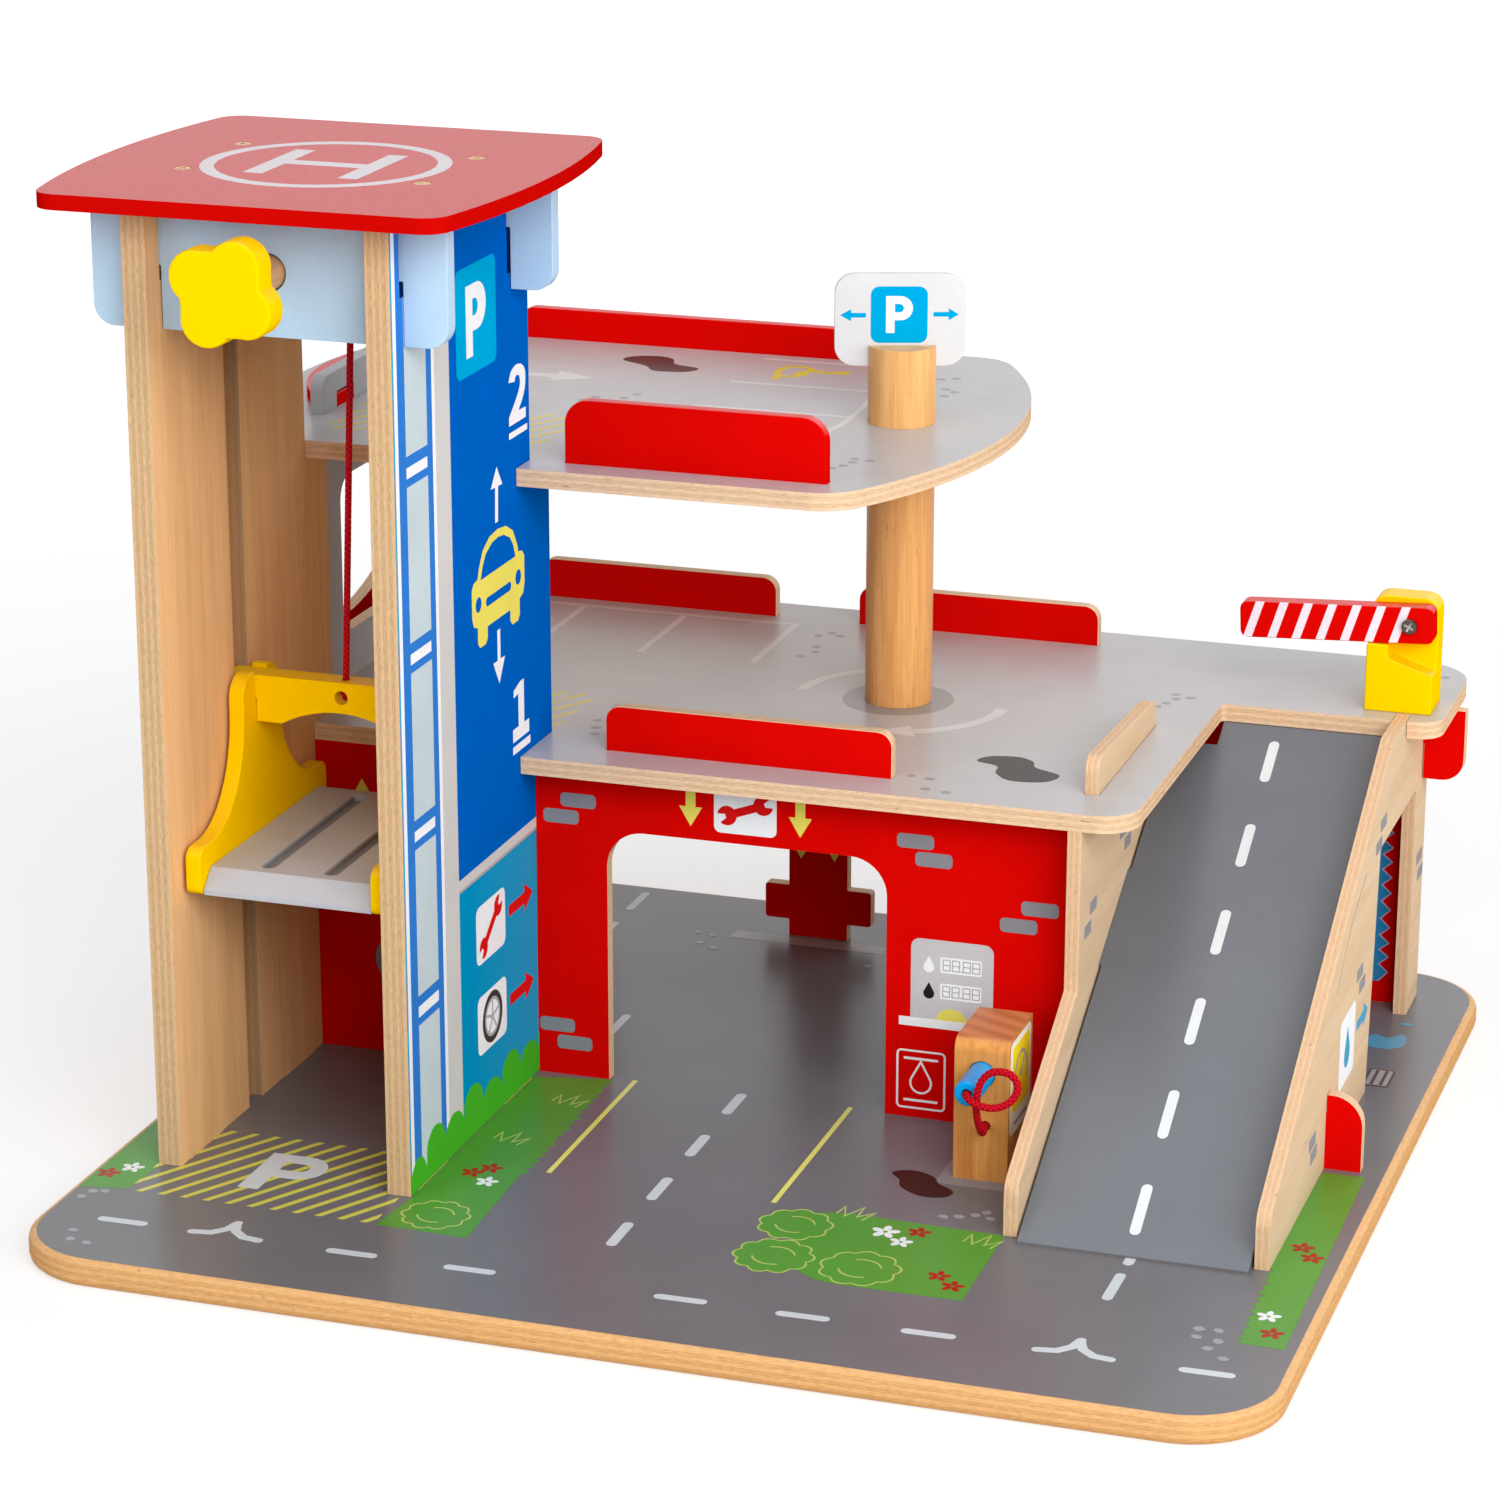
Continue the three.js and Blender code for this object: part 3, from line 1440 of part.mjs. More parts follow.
// A fence on the first deck whose top is hollowed out in one long curve.
function make_low_fence() {
  const radius = (kerb_half_length ** 2 + low_fence_flare ** 2) / (2 * low_fence_flare);
  const half_angle = Math.asin(kerb_half_length / radius);
  const middle_z = deck_1_top + low_fence_height;
  const down = -Math.PI / 2;
  const outline = [
    [deck_bow_centre_y - kerb_half_length, deck_1_top - groove_depth],
    [deck_bow_centre_y + kerb_half_length, deck_1_top - groove_depth],
    ...arc(deck_bow_centre_y, middle_z + radius, radius, down + half_angle, down - half_angle),
  ];
  piece("deck_1_left_fence", red_paint, facing_side(outline, low_fence_x, wall_thickness));
}

// Post and sign

function make_post() {
  const post = [
    [0, deck_1_z],
    [spigot_radius, deck_1_z],
    [spigot_radius, deck_1_top],
    [post_radius, deck_1_top],
    [post_radius, deck_2_z],
    [spigot_radius, deck_2_z],
    [spigot_radius, deck_2_top + sign_slot_depth],
    [0, deck_2_top + sign_slot_depth],
  ];
  piece("post", natural_wood, turned_upright(post, post_x, deck_bow_centre_y));
  const top = deck_2_top + sign_dowel_height;
  const dowel = rod_upright(post_x, deck_bow_centre_y, post_radius, deck_2_top, sign_dowel_height);
  const bore = rod_upright(
    post_x,
    deck_bow_centre_y,
    spigot_radius + fit_gap,
    deck_2_top - overrun,
    overrun + sign_slot_depth + fit_gap,
  );
  const slot = block(
    post_x - post_radius - overrun,
    post_x + post_radius + overrun,
    sign_y - fit_gap,
    sign_y + sign_thickness + fit_gap,
    sign_z,
    top + overrun,
  );
  piece("sign_dowel", natural_wood, cut(dowel, bore, turned_on_post(slot)));
  const middle_x = post_x + sign_shift;
  const sign = rectangle(
    middle_x - sign_width / 2,
    sign_z,
    middle_x + sign_width / 2,
    sign_z + sign_height,
    sign_radius,
    sign_radius,
  );
  piece("sign_board", white_paint, turned_on_post(facing_front(sign, sign_y, sign_thickness)));
}

function turned_on_post(shape) {
  const degrees = THREE.MathUtils.radToDeg(sign_turn);
  return shape
    .translate([-post_x, -deck_bow_centre_y, 0])
    .rotate([0, 0, degrees])
    .translate([post_x, deck_bow_centre_y, 0]);
}

// Barrier

function make_barrier() {
  const right_x = barrier_x + barrier_width;
  const rest_x = barrier_x + ledge_rest_width;
  const body = facing_front(
    rectangle(barrier_x, deck_1_top, right_x, deck_1_top + barrier_height, 0, barrier_top_radius),
    barrier_front_y,
    barrier_depth,
  );
  const recess = facing_front(
    rounded([
      [rest_x, deck_1_top + ledge_rest_height],
      [rest_x, deck_1_top + ledge_foot_height, ledge_foot_radius],
      [right_x, deck_1_top + ledge_right_height],
      [right_x + overrun, deck_1_top + ledge_right_height],
      [right_x + overrun, deck_1_top + barrier_height + overrun],
      [barrier_x - overrun, deck_1_top + barrier_height + overrun],
      [barrier_x - overrun, deck_1_top + ledge_rest_height],
    ]),
    barrier_front_y - overrun,
    barrier_recess_depth + overrun,
  );
  const pilot = rod_lengthwise(
    pivot_x,
    pivot_z,
    pivot_radius + fit_gap,
    recess_y - overrun,
    overrun + pivot_grip + fit_gap,
  );
  piece("barrier_block", yellow_paint, cut(body, recess, pilot));

  const arm = facing_front(
    rectangle(arm_tail - arm_length, -arm_height / 2, arm_tail, arm_height / 2, arm_radius, arm_radius),
    arm_y,
    arm_thickness,
  );
  const hole = rod_lengthwise(
    0,
    0,
    pivot_radius + fit_gap,
    arm_y - overrun,
    arm_thickness + 2 * overrun,
  );
  const droop = THREE.MathUtils.radToDeg(-arm_droop);
  piece("barrier_arm", red_paint, cut(arm, hole).rotate([0, droop, 0]).translate([pivot_x, 0, pivot_z]));

  const head_y = arm_y - fit_gap;
  const screw = [
    [0, head_y - pivot_head_height],
    [pivot_head_radius - pivot_head_height / 2, head_y - pivot_head_height],
    [pivot_head_radius, head_y - pivot_head_height / 2],
    [pivot_head_radius, head_y],
    [pivot_radius, head_y],
    [pivot_radius, recess_y + pivot_grip - pivot_radius],
    [0, recess_y + pivot_grip],
  ];
  piece("barrier_screw", steel, turned_lengthwise(screw, pivot_x, pivot_z));
}

// Fuel pump

function make_pump() {
  const back_y = pump_front_y + pump_depth;
  const outline = rounded([
    [pump_front_y, base_top],
    [back_y, base_top],
    [back_y, base_top + pump_height],
    [pump_front_y, base_top + pump_height, pump_top_radius],
  ]);
  const nozzle_hole = rod_lengthwise(
    pump_middle_x,
    nozzle_z,
    nozzle_radius + fit_gap,
    pump_front_y - overrun,
    overrun + nozzle_seat_depth + fit_gap,
  );
  const hose_hole = rod_lengthwise(
    hose_hole_x,
    hose_hole_z,
    hose_hole_radius,
    pump_front_y - overrun,
    overrun + hose_hole_depth,
  );
  piece("pump_block", natural_wood, cut(facing_side(outline, pump_x, pump_width), nozzle_hole, hose_hole));

  const end_y = nozzle_front_y + nozzle_length;
  const nozzle = [
    [0, nozzle_front_y],
    [nozzle_radius - nozzle_edge, nozzle_front_y],
    [nozzle_radius, nozzle_front_y + nozzle_edge],
    [nozzle_radius, end_y - nozzle_edge],
    [nozzle_radius - nozzle_edge, end_y],
    [0, end_y],
  ];
  const mouth = rod_lengthwise(
    pump_middle_x,
    nozzle_z,
    hose_hole_radius,
    nozzle_front_y - overrun,
    overrun + hose_hole_depth,
  );
  piece("pump_nozzle", nozzle_blue, cut(turned_lengthwise(nozzle, pump_middle_x, nozzle_z), mouth));

  const route = [
    [pump_middle_x, nozzle_front_y + hose_seat_depth, nozzle_z],
    [pump_middle_x, nozzle_front_y + hose_seat_depth / 2, nozzle_z],
    [pump_middle_x, nozzle_front_y, nozzle_z],
    ...hose_route,
    [hose_hole_x, pump_front_y, hose_hole_z],
    [hose_hole_x, pump_front_y + hose_seat_depth / 2, hose_hole_z],
    [hose_hole_x, pump_front_y + hose_seat_depth, hose_hole_z],
  ];
  const length = new THREE.CatmullRomCurve3(route.map((point) => new THREE.Vector3(...point))).getLength();
  console.log(`pump hose: ${length.toFixed(1)} mm`);
  piece("pump_hose", red_rope, tube(route, hose_radius, hose_sides, Math.round(length / hose_step)));
}

make_base();
const left_slots = cross_slots(fit_gap, cross_slot_play);
const right_slots = cross_slots(cross_slot_play, fit_gap);
make_tower_panel("tower_left_panel", natural_wood, left_panel_x, left_panel_inner_x, left_slots);
make_tower_panel("tower_right_panel", deep_blue, right_panel_x, right_panel_x, right_slots);
make_cross_board("front_cross_board", front_board_y);
make_cross_board("back_cross_board", back_board_y);
make_roof();
make_winch();
make_lift_rope();
make_cheek("lift_left_cheek", left_cheek_x, left_cheek_inner_x);
make_cheek("lift_right_cheek", right_cheek_x, right_cheek_x);
make_platform();
make_cross_bar();
make_deck_1();
make_deck_2();
make_fences();
make_front_wall();
make_back_wall();
make_ramp();
make_ramp_panels();
make_side_wall();
make_left_fence();
make_kerb();
make_low_fence();
make_post();
make_barrier();
make_pump();

export default garage;
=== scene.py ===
# %% [markdown]
# # A wooden parking garage for toy cars
# The garage is cut from plywood boards that slot into each other, with a lift on a rope, a ramp, a barrier
# and a fuel pump. The frame below holds every board at its place and size. This lesson dresses it: soft
# edges, plywood layers, paints, prints and braided ropes.

# %% Load the frame
import json
import random
from math import atan2, copysign, cos, degrees, floor, hypot, pi, radians, sin, tan

import bmesh
import bpy
from mathutils import Matrix, Vector, geometry

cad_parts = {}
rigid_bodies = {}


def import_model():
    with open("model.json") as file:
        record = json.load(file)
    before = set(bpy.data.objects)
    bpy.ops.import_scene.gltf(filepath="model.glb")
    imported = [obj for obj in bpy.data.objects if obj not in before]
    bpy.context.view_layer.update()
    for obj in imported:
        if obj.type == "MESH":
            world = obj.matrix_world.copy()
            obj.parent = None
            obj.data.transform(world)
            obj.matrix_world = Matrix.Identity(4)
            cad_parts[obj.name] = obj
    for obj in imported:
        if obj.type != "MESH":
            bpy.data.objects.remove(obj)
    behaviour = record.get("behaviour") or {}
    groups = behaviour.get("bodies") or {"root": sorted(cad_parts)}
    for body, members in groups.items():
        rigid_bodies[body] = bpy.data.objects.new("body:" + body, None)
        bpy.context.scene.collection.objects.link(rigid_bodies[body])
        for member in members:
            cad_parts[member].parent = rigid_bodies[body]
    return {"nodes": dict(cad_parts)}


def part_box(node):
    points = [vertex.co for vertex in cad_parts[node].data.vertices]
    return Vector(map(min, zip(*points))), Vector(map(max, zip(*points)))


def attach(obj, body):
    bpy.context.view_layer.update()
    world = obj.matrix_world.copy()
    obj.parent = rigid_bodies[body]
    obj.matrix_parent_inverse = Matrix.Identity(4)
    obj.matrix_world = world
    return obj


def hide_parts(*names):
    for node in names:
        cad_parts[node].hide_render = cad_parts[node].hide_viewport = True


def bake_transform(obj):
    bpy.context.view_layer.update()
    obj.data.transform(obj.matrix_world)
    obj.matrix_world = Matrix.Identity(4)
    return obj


for leftover in list(bpy.data.objects):
    bpy.data.objects.remove(leftover)
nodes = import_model()["nodes"]
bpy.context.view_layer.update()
MM = 0.001
AXES = {"x": 0, "y": 1, "z": 2}
STRAIGHT = (0.86, 0.93)
print("boards and parts:", len(nodes))

# %% [markdown]
# ## The camera
# The picture is taken from the front right and from a little above, with a long lens, so that the upright
# boards stay nearly parallel. A camera can be aimed with a constraint, but a rotation worked out from its
# turn, tilt and roll is exact and needs nothing else in the scene.

# %% Place the camera
eye = Vector((500.016, -1579.908, 687.044)) * MM
turn, tilt, roll = (radians(angle) for angle in (-18.22, -17.75, 0.05))
ahead = Vector((sin(turn) * cos(tilt), cos(turn) * cos(tilt), sin(tilt)))
level = Vector((cos(turn), -sin(turn), 0))
upward = level.cross(ahead)
side = level * cos(roll) + upward * sin(roll)
top = upward * cos(roll) - level * sin(roll)
lens = bpy.data.cameras.new("studio_lens")
lens.sensor_width = 36
lens.lens = 108.94
lens.clip_start = 0.05
lens.clip_end = 20
camera = bpy.data.objects.new("studio_camera", lens)
camera.matrix_world = Matrix.Translation(eye) @ Matrix((side, top, -ahead)).transposed().to_4x4()
bpy.context.scene.collection.objects.link(camera)
bpy.context.scene.camera = camera
print("camera looks along", [round(part, 3) for part in ahead])

# %% [markdown]
# ## Finishes
# A finish is a small network of nodes that ends in one shader. The class below adds a node and fills its
# inputs, either with a plain value or with the output of another node, so that each finish reads as a list.
# The floor and the world use it too.

# %% Start a finish
class Network:
    """The nodes of a material or of the world, each added by a short call."""

    def __init__(self, owner, cleared=False):
        owner.use_nodes = True
        self.owner, self.tree = owner, owner.node_tree
        if cleared:
            self.tree.nodes.clear()
        self.shader = self.tree.nodes.get("Principled BSDF")

    def add(self, kind, settings=None, **inputs):
        node = self.tree.nodes.new("ShaderNode" + kind)
        for key, value in (settings or {}).items():
            setattr(node, key, value)
        for key, value in inputs.items():
            socket = node.inputs[int(key[1:]) if key[1:].isdigit() else key]
            if isinstance(value, bpy.types.NodeSocket):
                self.tree.links.new(value, socket)
            else:
                socket.default_value = value
        return node.outputs

    @property
    def place(self):
        return self.add("TexCoord")["Object"]

    @property
    def normal(self):
        return self.add("TexCoord")["Normal"]

    def link(self, output, name):
        self.tree.links.new(output, self.shader.inputs[name])

    def maths(self, operation, a, b=0.0, c=0.0):
        return self.add("Math", {"operation": operation}, _0=a, _1=b, _2=c)[0]

    def times(self, a, b):
        return self.maths("MULTIPLY", a, b)

    def plus(self, a, b):
        return self.maths("ADD", a, b)

    def except_for(self, share):
        return self.maths("SUBTRACT", 1.0, share)

    def blend(self, share, a, b):
        a, b = ((*tone, 1) if isinstance(tone, tuple) else tone for tone in (a, b))
        return self.add("Mix", {"data_type": "RGBA"}, _0=share, _6=a, _7=b)[2]

    def spread(self, value, low, high, to_low=0.0, to_high=1.0):
        return self.add("MapRange", _0=value, _1=low, _2=high, _3=to_low, _4=to_high)[0]

    def part(self, vector, axis):
        return self.add("SeparateXYZ", Vector=vector)[AXES[axis]]

    def facing(self, axis, sign=0, limits=STRAIGHT):
        """1 on faces that look along the axis: either way, or the way of the sign."""
        straight = self.part(self.normal, axis)
        straight = self.times(straight, float(sign)) if sign else self.maths("ABSOLUTE", straight)
        return self.spread(straight, *limits)

    def noise(self, along, fine, stretch, detail=4.0, distortion=0.0):
        """Noise drawn out along one axis."""
        scale = [fine] * 3
        scale[AXES[along]] = fine / stretch
        turned = self.add("Mapping", Vector=self.place, Scale=scale)[0]
        return self.add("TexNoise", Vector=turned, Scale=1.0, Detail=detail, Roughness=0.6, Distortion=distortion)[0]

    def cloud(self, scale, detail):
        return self.add("TexNoise", Vector=self.place, Scale=scale, Detail=detail)[0]

    def mottled(self, colour, amount=0.06):
        both = self.plus(self.times(self.cloud(38.0, 3.0), 0.5), self.times(self.cloud(1700.0, 1.0), 0.5))
        pale = tuple(min(1.0, part * (1 + amount)) for part in colour)
        deep = tuple(part * (1 - amount) for part in colour)
        return self.blend(self.spread(both, 0.35, 0.65), deep, pale)

    def close(self, colour, rough=None, bump=None, upright=0.0, flat=0.5):
        """Ends a finish. A face that looks up mirrors more of the white studio than an upright one."""
        self.link(colour, "Base Color")
        self.link(self.spread(self.part(self.normal, "z"), 0.3, 0.85, upright, flat), "Specular IOR Level")
        if rough is not None:
            self.link(rough, "Roughness")
        if bump:
            strength, height = bump
            self.link(self.add("Bump", Strength=strength, Distance=0.0002, Height=height)[0], "Normal")


def start_finish(name, roughness, colour=None, metal=0.0):
    finish = Network(bpy.data.materials.new(name))
    finish.shader.inputs["Roughness"].default_value = roughness
    finish.shader.inputs["Metallic"].default_value = metal
    if colour:
        finish.shader.inputs["Base Color"].default_value = (*colour, 1)
        finish.owner.diffuse_color = (*colour, 1)
    return finish


print("helpers for finishes are ready")

# %% [markdown]
# ## Wood grain
# Real veneer shows long fine fibres, broader bands of light and dark, and a few short dark pores. Stretched
# noise makes all three: the same noise is squeezed across the grain and drawn out along it.

# %% Grain
PORES = (0.30, 0.15, 0.06)


def veneer(finish, along, light, dark, pore=PORES, broad=90):
    fibres = finish.spread(finish.noise(along, 900, 40), 0.35, 0.68)
    bands = finish.spread(finish.noise(along, broad, 16, 3.0, 0.6), 0.36, 0.66)
    share = finish.plus(finish.times(fibres, 0.35), finish.times(bands, 0.65))
    pores = finish.spread(finish.noise(along, 1500, 22, 2.0), 0.68, 0.78, 0.0, 0.4)
    return finish.blend(pores, finish.blend(share, light, dark), pore), fibres


print("grain runs along one of", ", ".join(AXES))

# %% [markdown]
# ## Plywood
# A board's two big faces are veneer or print, and its edges show the layers, turned a quarter each time. The
# finish finds out which is which from the surface's own direction, and counts the layers by the distance
# through the board, so that one finish covers a board with all its slots and arches.

# %% A board of plywood
BIRCH = ((0.80, 0.52, 0.28), (0.66, 0.40, 0.19))
EDGE_TONES = ((0.88, 0.62, 0.41), (0.58, 0.37, 0.21))
GLUE_LINE = (0.40, 0.21, 0.085)


def edge_layers(finish, axis, low, high, layers, tones):
    depth = finish.spread(finish.part(finish.place, axis), low * MM, high * MM, 0.0, layers)
    waver = finish.times(finish.noise(axis, 60, 0.2, 2.0), 0.16)
    depth = finish.plus(finish.maths("SUBTRACT", depth, 0.08), waver)
    odd = finish.maths("MODULO", finish.maths("FLOOR", depth), 2.0)
    near_glue = finish.maths("ABSOLUTE", finish.maths("SUBTRACT", finish.maths("FRACT", depth), 0.5))
    glue = finish.spread(near_glue, 0.44, 0.5, 0.0, 0.42)
    streaks = finish.spread(finish.noise(axis, 330, 0.14, 5.0), 0.32, 0.7)
    wood = finish.blend(finish.plus(finish.times(odd, 0.3), finish.times(streaks, 0.7)), *tones)
    pits = finish.spread(finish.noise(axis, 150, 0.3, 1.0), 0.76, 0.79, 0.0, 0.6)
    return finish.blend(glue, finish.blend(pits, wood, PORES), GLUE_LINE), streaks


def board_finish(name, axis, low, high, layers, grain, paints, veneers, tones, limits):
    """paints are those of the two big faces, or None where the wood is bare."""
    finish = start_finish(name, 0.5)
    edge, streaks = edge_layers(finish, axis, low, high, layers, tones)
    bare, fibres = veneer(finish, grain, *veneers)
    is_face = finish.facing(axis, 0, limits)
    colour = finish.blend(is_face, edge, bare)
    rough = finish.spread(is_face, 0.0, 1.0, 0.62, 0.42)
    relief = finish.plus(streaks, fibres)
    printed = None
    for paint, sign in zip(paints, (1, -1)):
        if paint:
            painted_side = finish.facing(axis, sign, limits)
            colour = finish.blend(painted_side, colour, finish.mottled(paint))
            printed = painted_side if printed is None else finish.plus(printed, painted_side)
    if printed is not None:
        rough = finish.spread(printed, 0.0, 1.0, 0.55, 0.3)
        relief = finish.times(relief, finish.except_for(printed))
    finish.close(colour, rough, (0.25, relief))
    finish.owner.diffuse_color = (*(paints[0] or veneers[0]), 1)
    return finish, colour


print("a board's finish takes its axis, its two faces and its number of layers")

# %% [markdown]
# ## Paint and solid wood
# Thick paint hides the grain but keeps a little unevenness from the brush. The round parts are turned from
# beech, whose grain shows as long lines with short dark flecks, and as rings on a sawn end.

# %% Paints
def paint_finish(name, colour, roughness, grain=None):
    finish = start_finish(name, roughness, colour)
    brush = finish.noise(grain, 420, 12) if grain else finish.noise("x", 900, 1)
    rough = finish.spread(brush, 0.3, 0.7, roughness - 0.05, roughness + 0.06)
    finish.close(finish.mottled(colour, 0.035), rough, (0.14, brush))
    return finish


RED = (0.68, 0.002, 0.001)
paints = {
    "red": paint_finish("red_lacquer", RED, 0.34),
    "roof_red": paint_finish("roof_lacquer", (0.52, 0.002, 0.001), 0.32),
    "yellow": paint_finish("yellow_lacquer", (0.98, 0.60, 0.0), 0.42),
    "pale_blue": paint_finish("pale_blue_paint_on_wood", (0.45, 0.62, 0.78), 0.5, "x"),
    "mid_grey": paint_finish("mid_grey_paint_on_wood", (0.42, 0.43, 0.45), 0.5, "y"),
    "white": paint_finish("white_lacquer", (0.70, 0.705, 0.71), 0.34),
    "blue": paint_finish("bright_blue_lacquer", (0.005, 0.34, 0.80), 0.34),
}
print("paints:", ", ".join(paints))

# %% Solid beech
def beech_finish(name, along, light, dark, rings=None):
    """rings, if any, are the middle of the growth rings in millimetres and their two tones."""
    finish = start_finish(name, 0.4)
    wood, fibres = veneer(finish, along, light, dark, (0.34, 0.13, 0.04), 210)
    flecks = finish.spread(finish.noise(along, 900, 6, 1.0), 0.68, 0.74, 0.0, 0.4)
    wood = finish.blend(flecks, wood, tuple(0.5 * part for part in dark))
    if rings:
        centre, tones = rings
        shifted = finish.add("Mapping", Vector=finish.place, Location=[-part * MM for part in centre])[0]
        bands = finish.add("TexWave", {"wave_type": "RINGS", "rings_direction": "Z"}, Vector=shifted, Scale=34.0,
                           Distortion=1.2, Detail=2.0)["Fac"]
        wood = finish.blend(finish.facing(along), wood, finish.blend(bands, *tones))
    finish.close(wood, None, (0.2, fibres), 0.25)
    finish.owner.diffuse_color = (*light, 1)
    return finish


print("beech for the post, the sign's dowel, the shaft and the pump")

# %% [markdown]
# ## Dress the boards
# Every board keeps its shape from the frame. It gets its finish in its material slot and three small
# modifiers: one joins the corners that the file kept apart, one clears the flat faces of needless edges, and
# a narrow bevel eases each edge as a wooden toy is sanded. A weighted normal keeps the big faces flat. The
# base board has its round edge already, and only its rim is shaded smooth.

# %% Soft edges
def smooth_group(name, rims_only):
    """Smooth shading for every face, or only for those that look neither straight up nor down."""
    group = bpy.data.node_groups.new(name, "GeometryNodeTree")
    new, join = group.nodes.new, group.links.new
    for way in ("INPUT", "OUTPUT"):
        group.interface.new_socket("Geometry", in_out=way, socket_type="NodeSocketGeometry")
    flat, smooth = (new("GeometryNodeSetShadeSmooth") for _ in range(2))
    flat.inputs["Shade Smooth"].default_value = False
    chain = (new("NodeGroupInput"), flat, smooth, new("NodeGroupOutput"))
    for before, after in zip(chain, chain[1:]):
        join(before.outputs[0], after.inputs[0])
    if rims_only:
        parts, size, tilted = (new("ShaderNode" + kind) for kind in ("SeparateXYZ", "Math", "Math"))
        size.operation, tilted.operation = "ABSOLUTE", "LESS_THAN"
        tilted.inputs[1].default_value = 0.999
        join(new("GeometryNodeInputNormal").outputs[0], parts.inputs[0])
        join(parts.outputs["Z"], size.inputs[0])
        join(size.outputs[0], tilted.inputs[0])
        join(tilted.outputs[0], smooth.inputs["Selection"])
    return group


smooth_faces = smooth_group("smooth_faces", False)
smooth_rims = smooth_group("smooth_rims", True)


def dress(name, finish, width):
    """The board takes its finish and a bevel of that width in millimetres."""
    piece = nodes[name]
    piece.data.materials.clear()
    piece.data.materials.append(finish.owner)
    piece.modifiers.new("join_corners", "WELD").merge_threshold = 0.00001
    if width:
        clear = piece.modifiers.new("clear_faces", "DECIMATE")
        clear.decimate_type = "DISSOLVE"
        clear.angle_limit = radians(0.6)
        ease = piece.modifiers.new("eased_edge", "BEVEL")
        ease.width, ease.segments = width * MM, 2
        ease.limit_method, ease.angle_limit = "ANGLE", radians(38)
        ease.miter_outer = "MITER_ARC"
    piece.modifiers.new("smooth_faces", "NODES").node_group = smooth_faces if width else smooth_rims
    if width:
        piece.modifiers.new("flat_faces", "WEIGHTED_NORMAL").weight = 100


def span(name, axis):
    """Where the frame's own piece starts and ends on an axis, in millimetres."""
    return [corner[AXES[axis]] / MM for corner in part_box(name)]


print("edges are eased by a bevel of a third of a millimetre")

# %% Boards of plywood
PALE = ((0.73, 0.545, 0.365), (0.64, 0.455, 0.28))
PALE_EDGE = ((0.80, 0.54, 0.34), (0.60, 0.37, 0.20))
HONEY = ((0.80, 0.46, 0.195), (0.52, 0.27, 0.10))
PANEL = ((0.84, 0.51, 0.25), (0.69, 0.395, 0.175))
FRONT_EDGE = ((0.72, 0.49, 0.28), (0.45, 0.28, 0.14))
ROAD, DECK, SIDE_GREY = (0.155, 0.155, 0.17), (0.49, 0.475, 0.48), (0.44, 0.45, 0.47)
NAVY, PAINTED_GROOVE_SHADE = (0.0, 0.11, 0.50), (0.28, 0.14, 0.06)
EASED, ROUND_BASE, FACE_OF_BASE = 0.35, (0, 10.5), (0.985, 0.997)
CROSS_BOARD_SLOT = (-67.0, 58.5, "z", 358.0, 20.2)
GROOVE_PLAY, GROOVE_DEPTH = 1.3, 4.6
board_groups = (
    (["base_board"], "z", 7, "x", (ROAD, None), BIRCH, HONEY),
    (["deck_1", "deck_2"], "z", 5, "x", (DECK, None), BIRCH, EDGE_TONES),
    (["tower_left_panel", "tower_right_panel"], "x", 7, "z", (None, None), PANEL, FRONT_EDGE),
    (["front_wall", "back_wall", "deck_1_front_fence", "deck_1_back_left_fence", "deck_1_back_right_fence"],
     "y", 5, "x", (RED, RED), BIRCH, EDGE_TONES),
    (["ramp_left_panel", "ramp_right_panel", "wood_fence"], "x", 5, "y", (None, None), PALE, PALE_EDGE),
    (["deck_1_left_fence"], "x", 5, "y", (RED, RED), BIRCH, EDGE_TONES),
    (["side_wall"], "x", 5, "y", (SIDE_GREY, SIDE_GREY), BIRCH, EDGE_TONES),
)


def tint_recess(finish, colour, recess, floor_axis, share, tint):
    """Tints the walls of a recess, whose middle and half width are given in y and on one more axis. The tint
    is navy in the cross board's slot, and painted shade in the lift's groove.
    """
    y_middle, y_half, axis, middle, half = recess
    beside = finish.maths("ABSOLUTE", finish.maths("SUBTRACT", finish.part(finish.place, "y"), y_middle * MM))
    inside = finish.times(finish.maths("LESS_THAN", beside, y_half * MM),
                          finish.maths("COMPARE", finish.part(finish.place, axis), middle * MM, half * MM))
    walls = finish.times(inside, finish.except_for(finish.facing(floor_axis, 0, (0.3, 0.5))))
    finish.link(finish.blend(finish.times(walls, share), colour, tint), "Base Color")


for names, axis, layers, grain, sides, veneers, tones in board_groups:
    for name in names:
        is_base = name == "base_board"
        low, high = ROUND_BASE if is_base else span(name, axis)
        finish, colour = board_finish(name + "_plywood", axis, low, high, layers, grain, sides, veneers, tones,
                                      FACE_OF_BASE if is_base else STRAIGHT)
        if name == "tower_right_panel":
            tint_recess(finish, colour, CROSS_BOARD_SLOT, "x", 1.0, NAVY)
        if name == "tower_left_panel":
            # The lift's guide groove is darkened on its walls and floor: painted shade.
            front, back = span("lift_cross_bar", "y")
            guide = ((front + back) / 2, (back - front) / 2 + GROOVE_PLAY, "x", high, GROOVE_DEPTH)
            tint_recess(finish, colour, guide, "z", 0.6, PAINTED_GROOVE_SHADE)
        dress(name, finish, 0 if is_base else EASED)
print("plywood boards:", sum(len(group[0]) for group in board_groups))

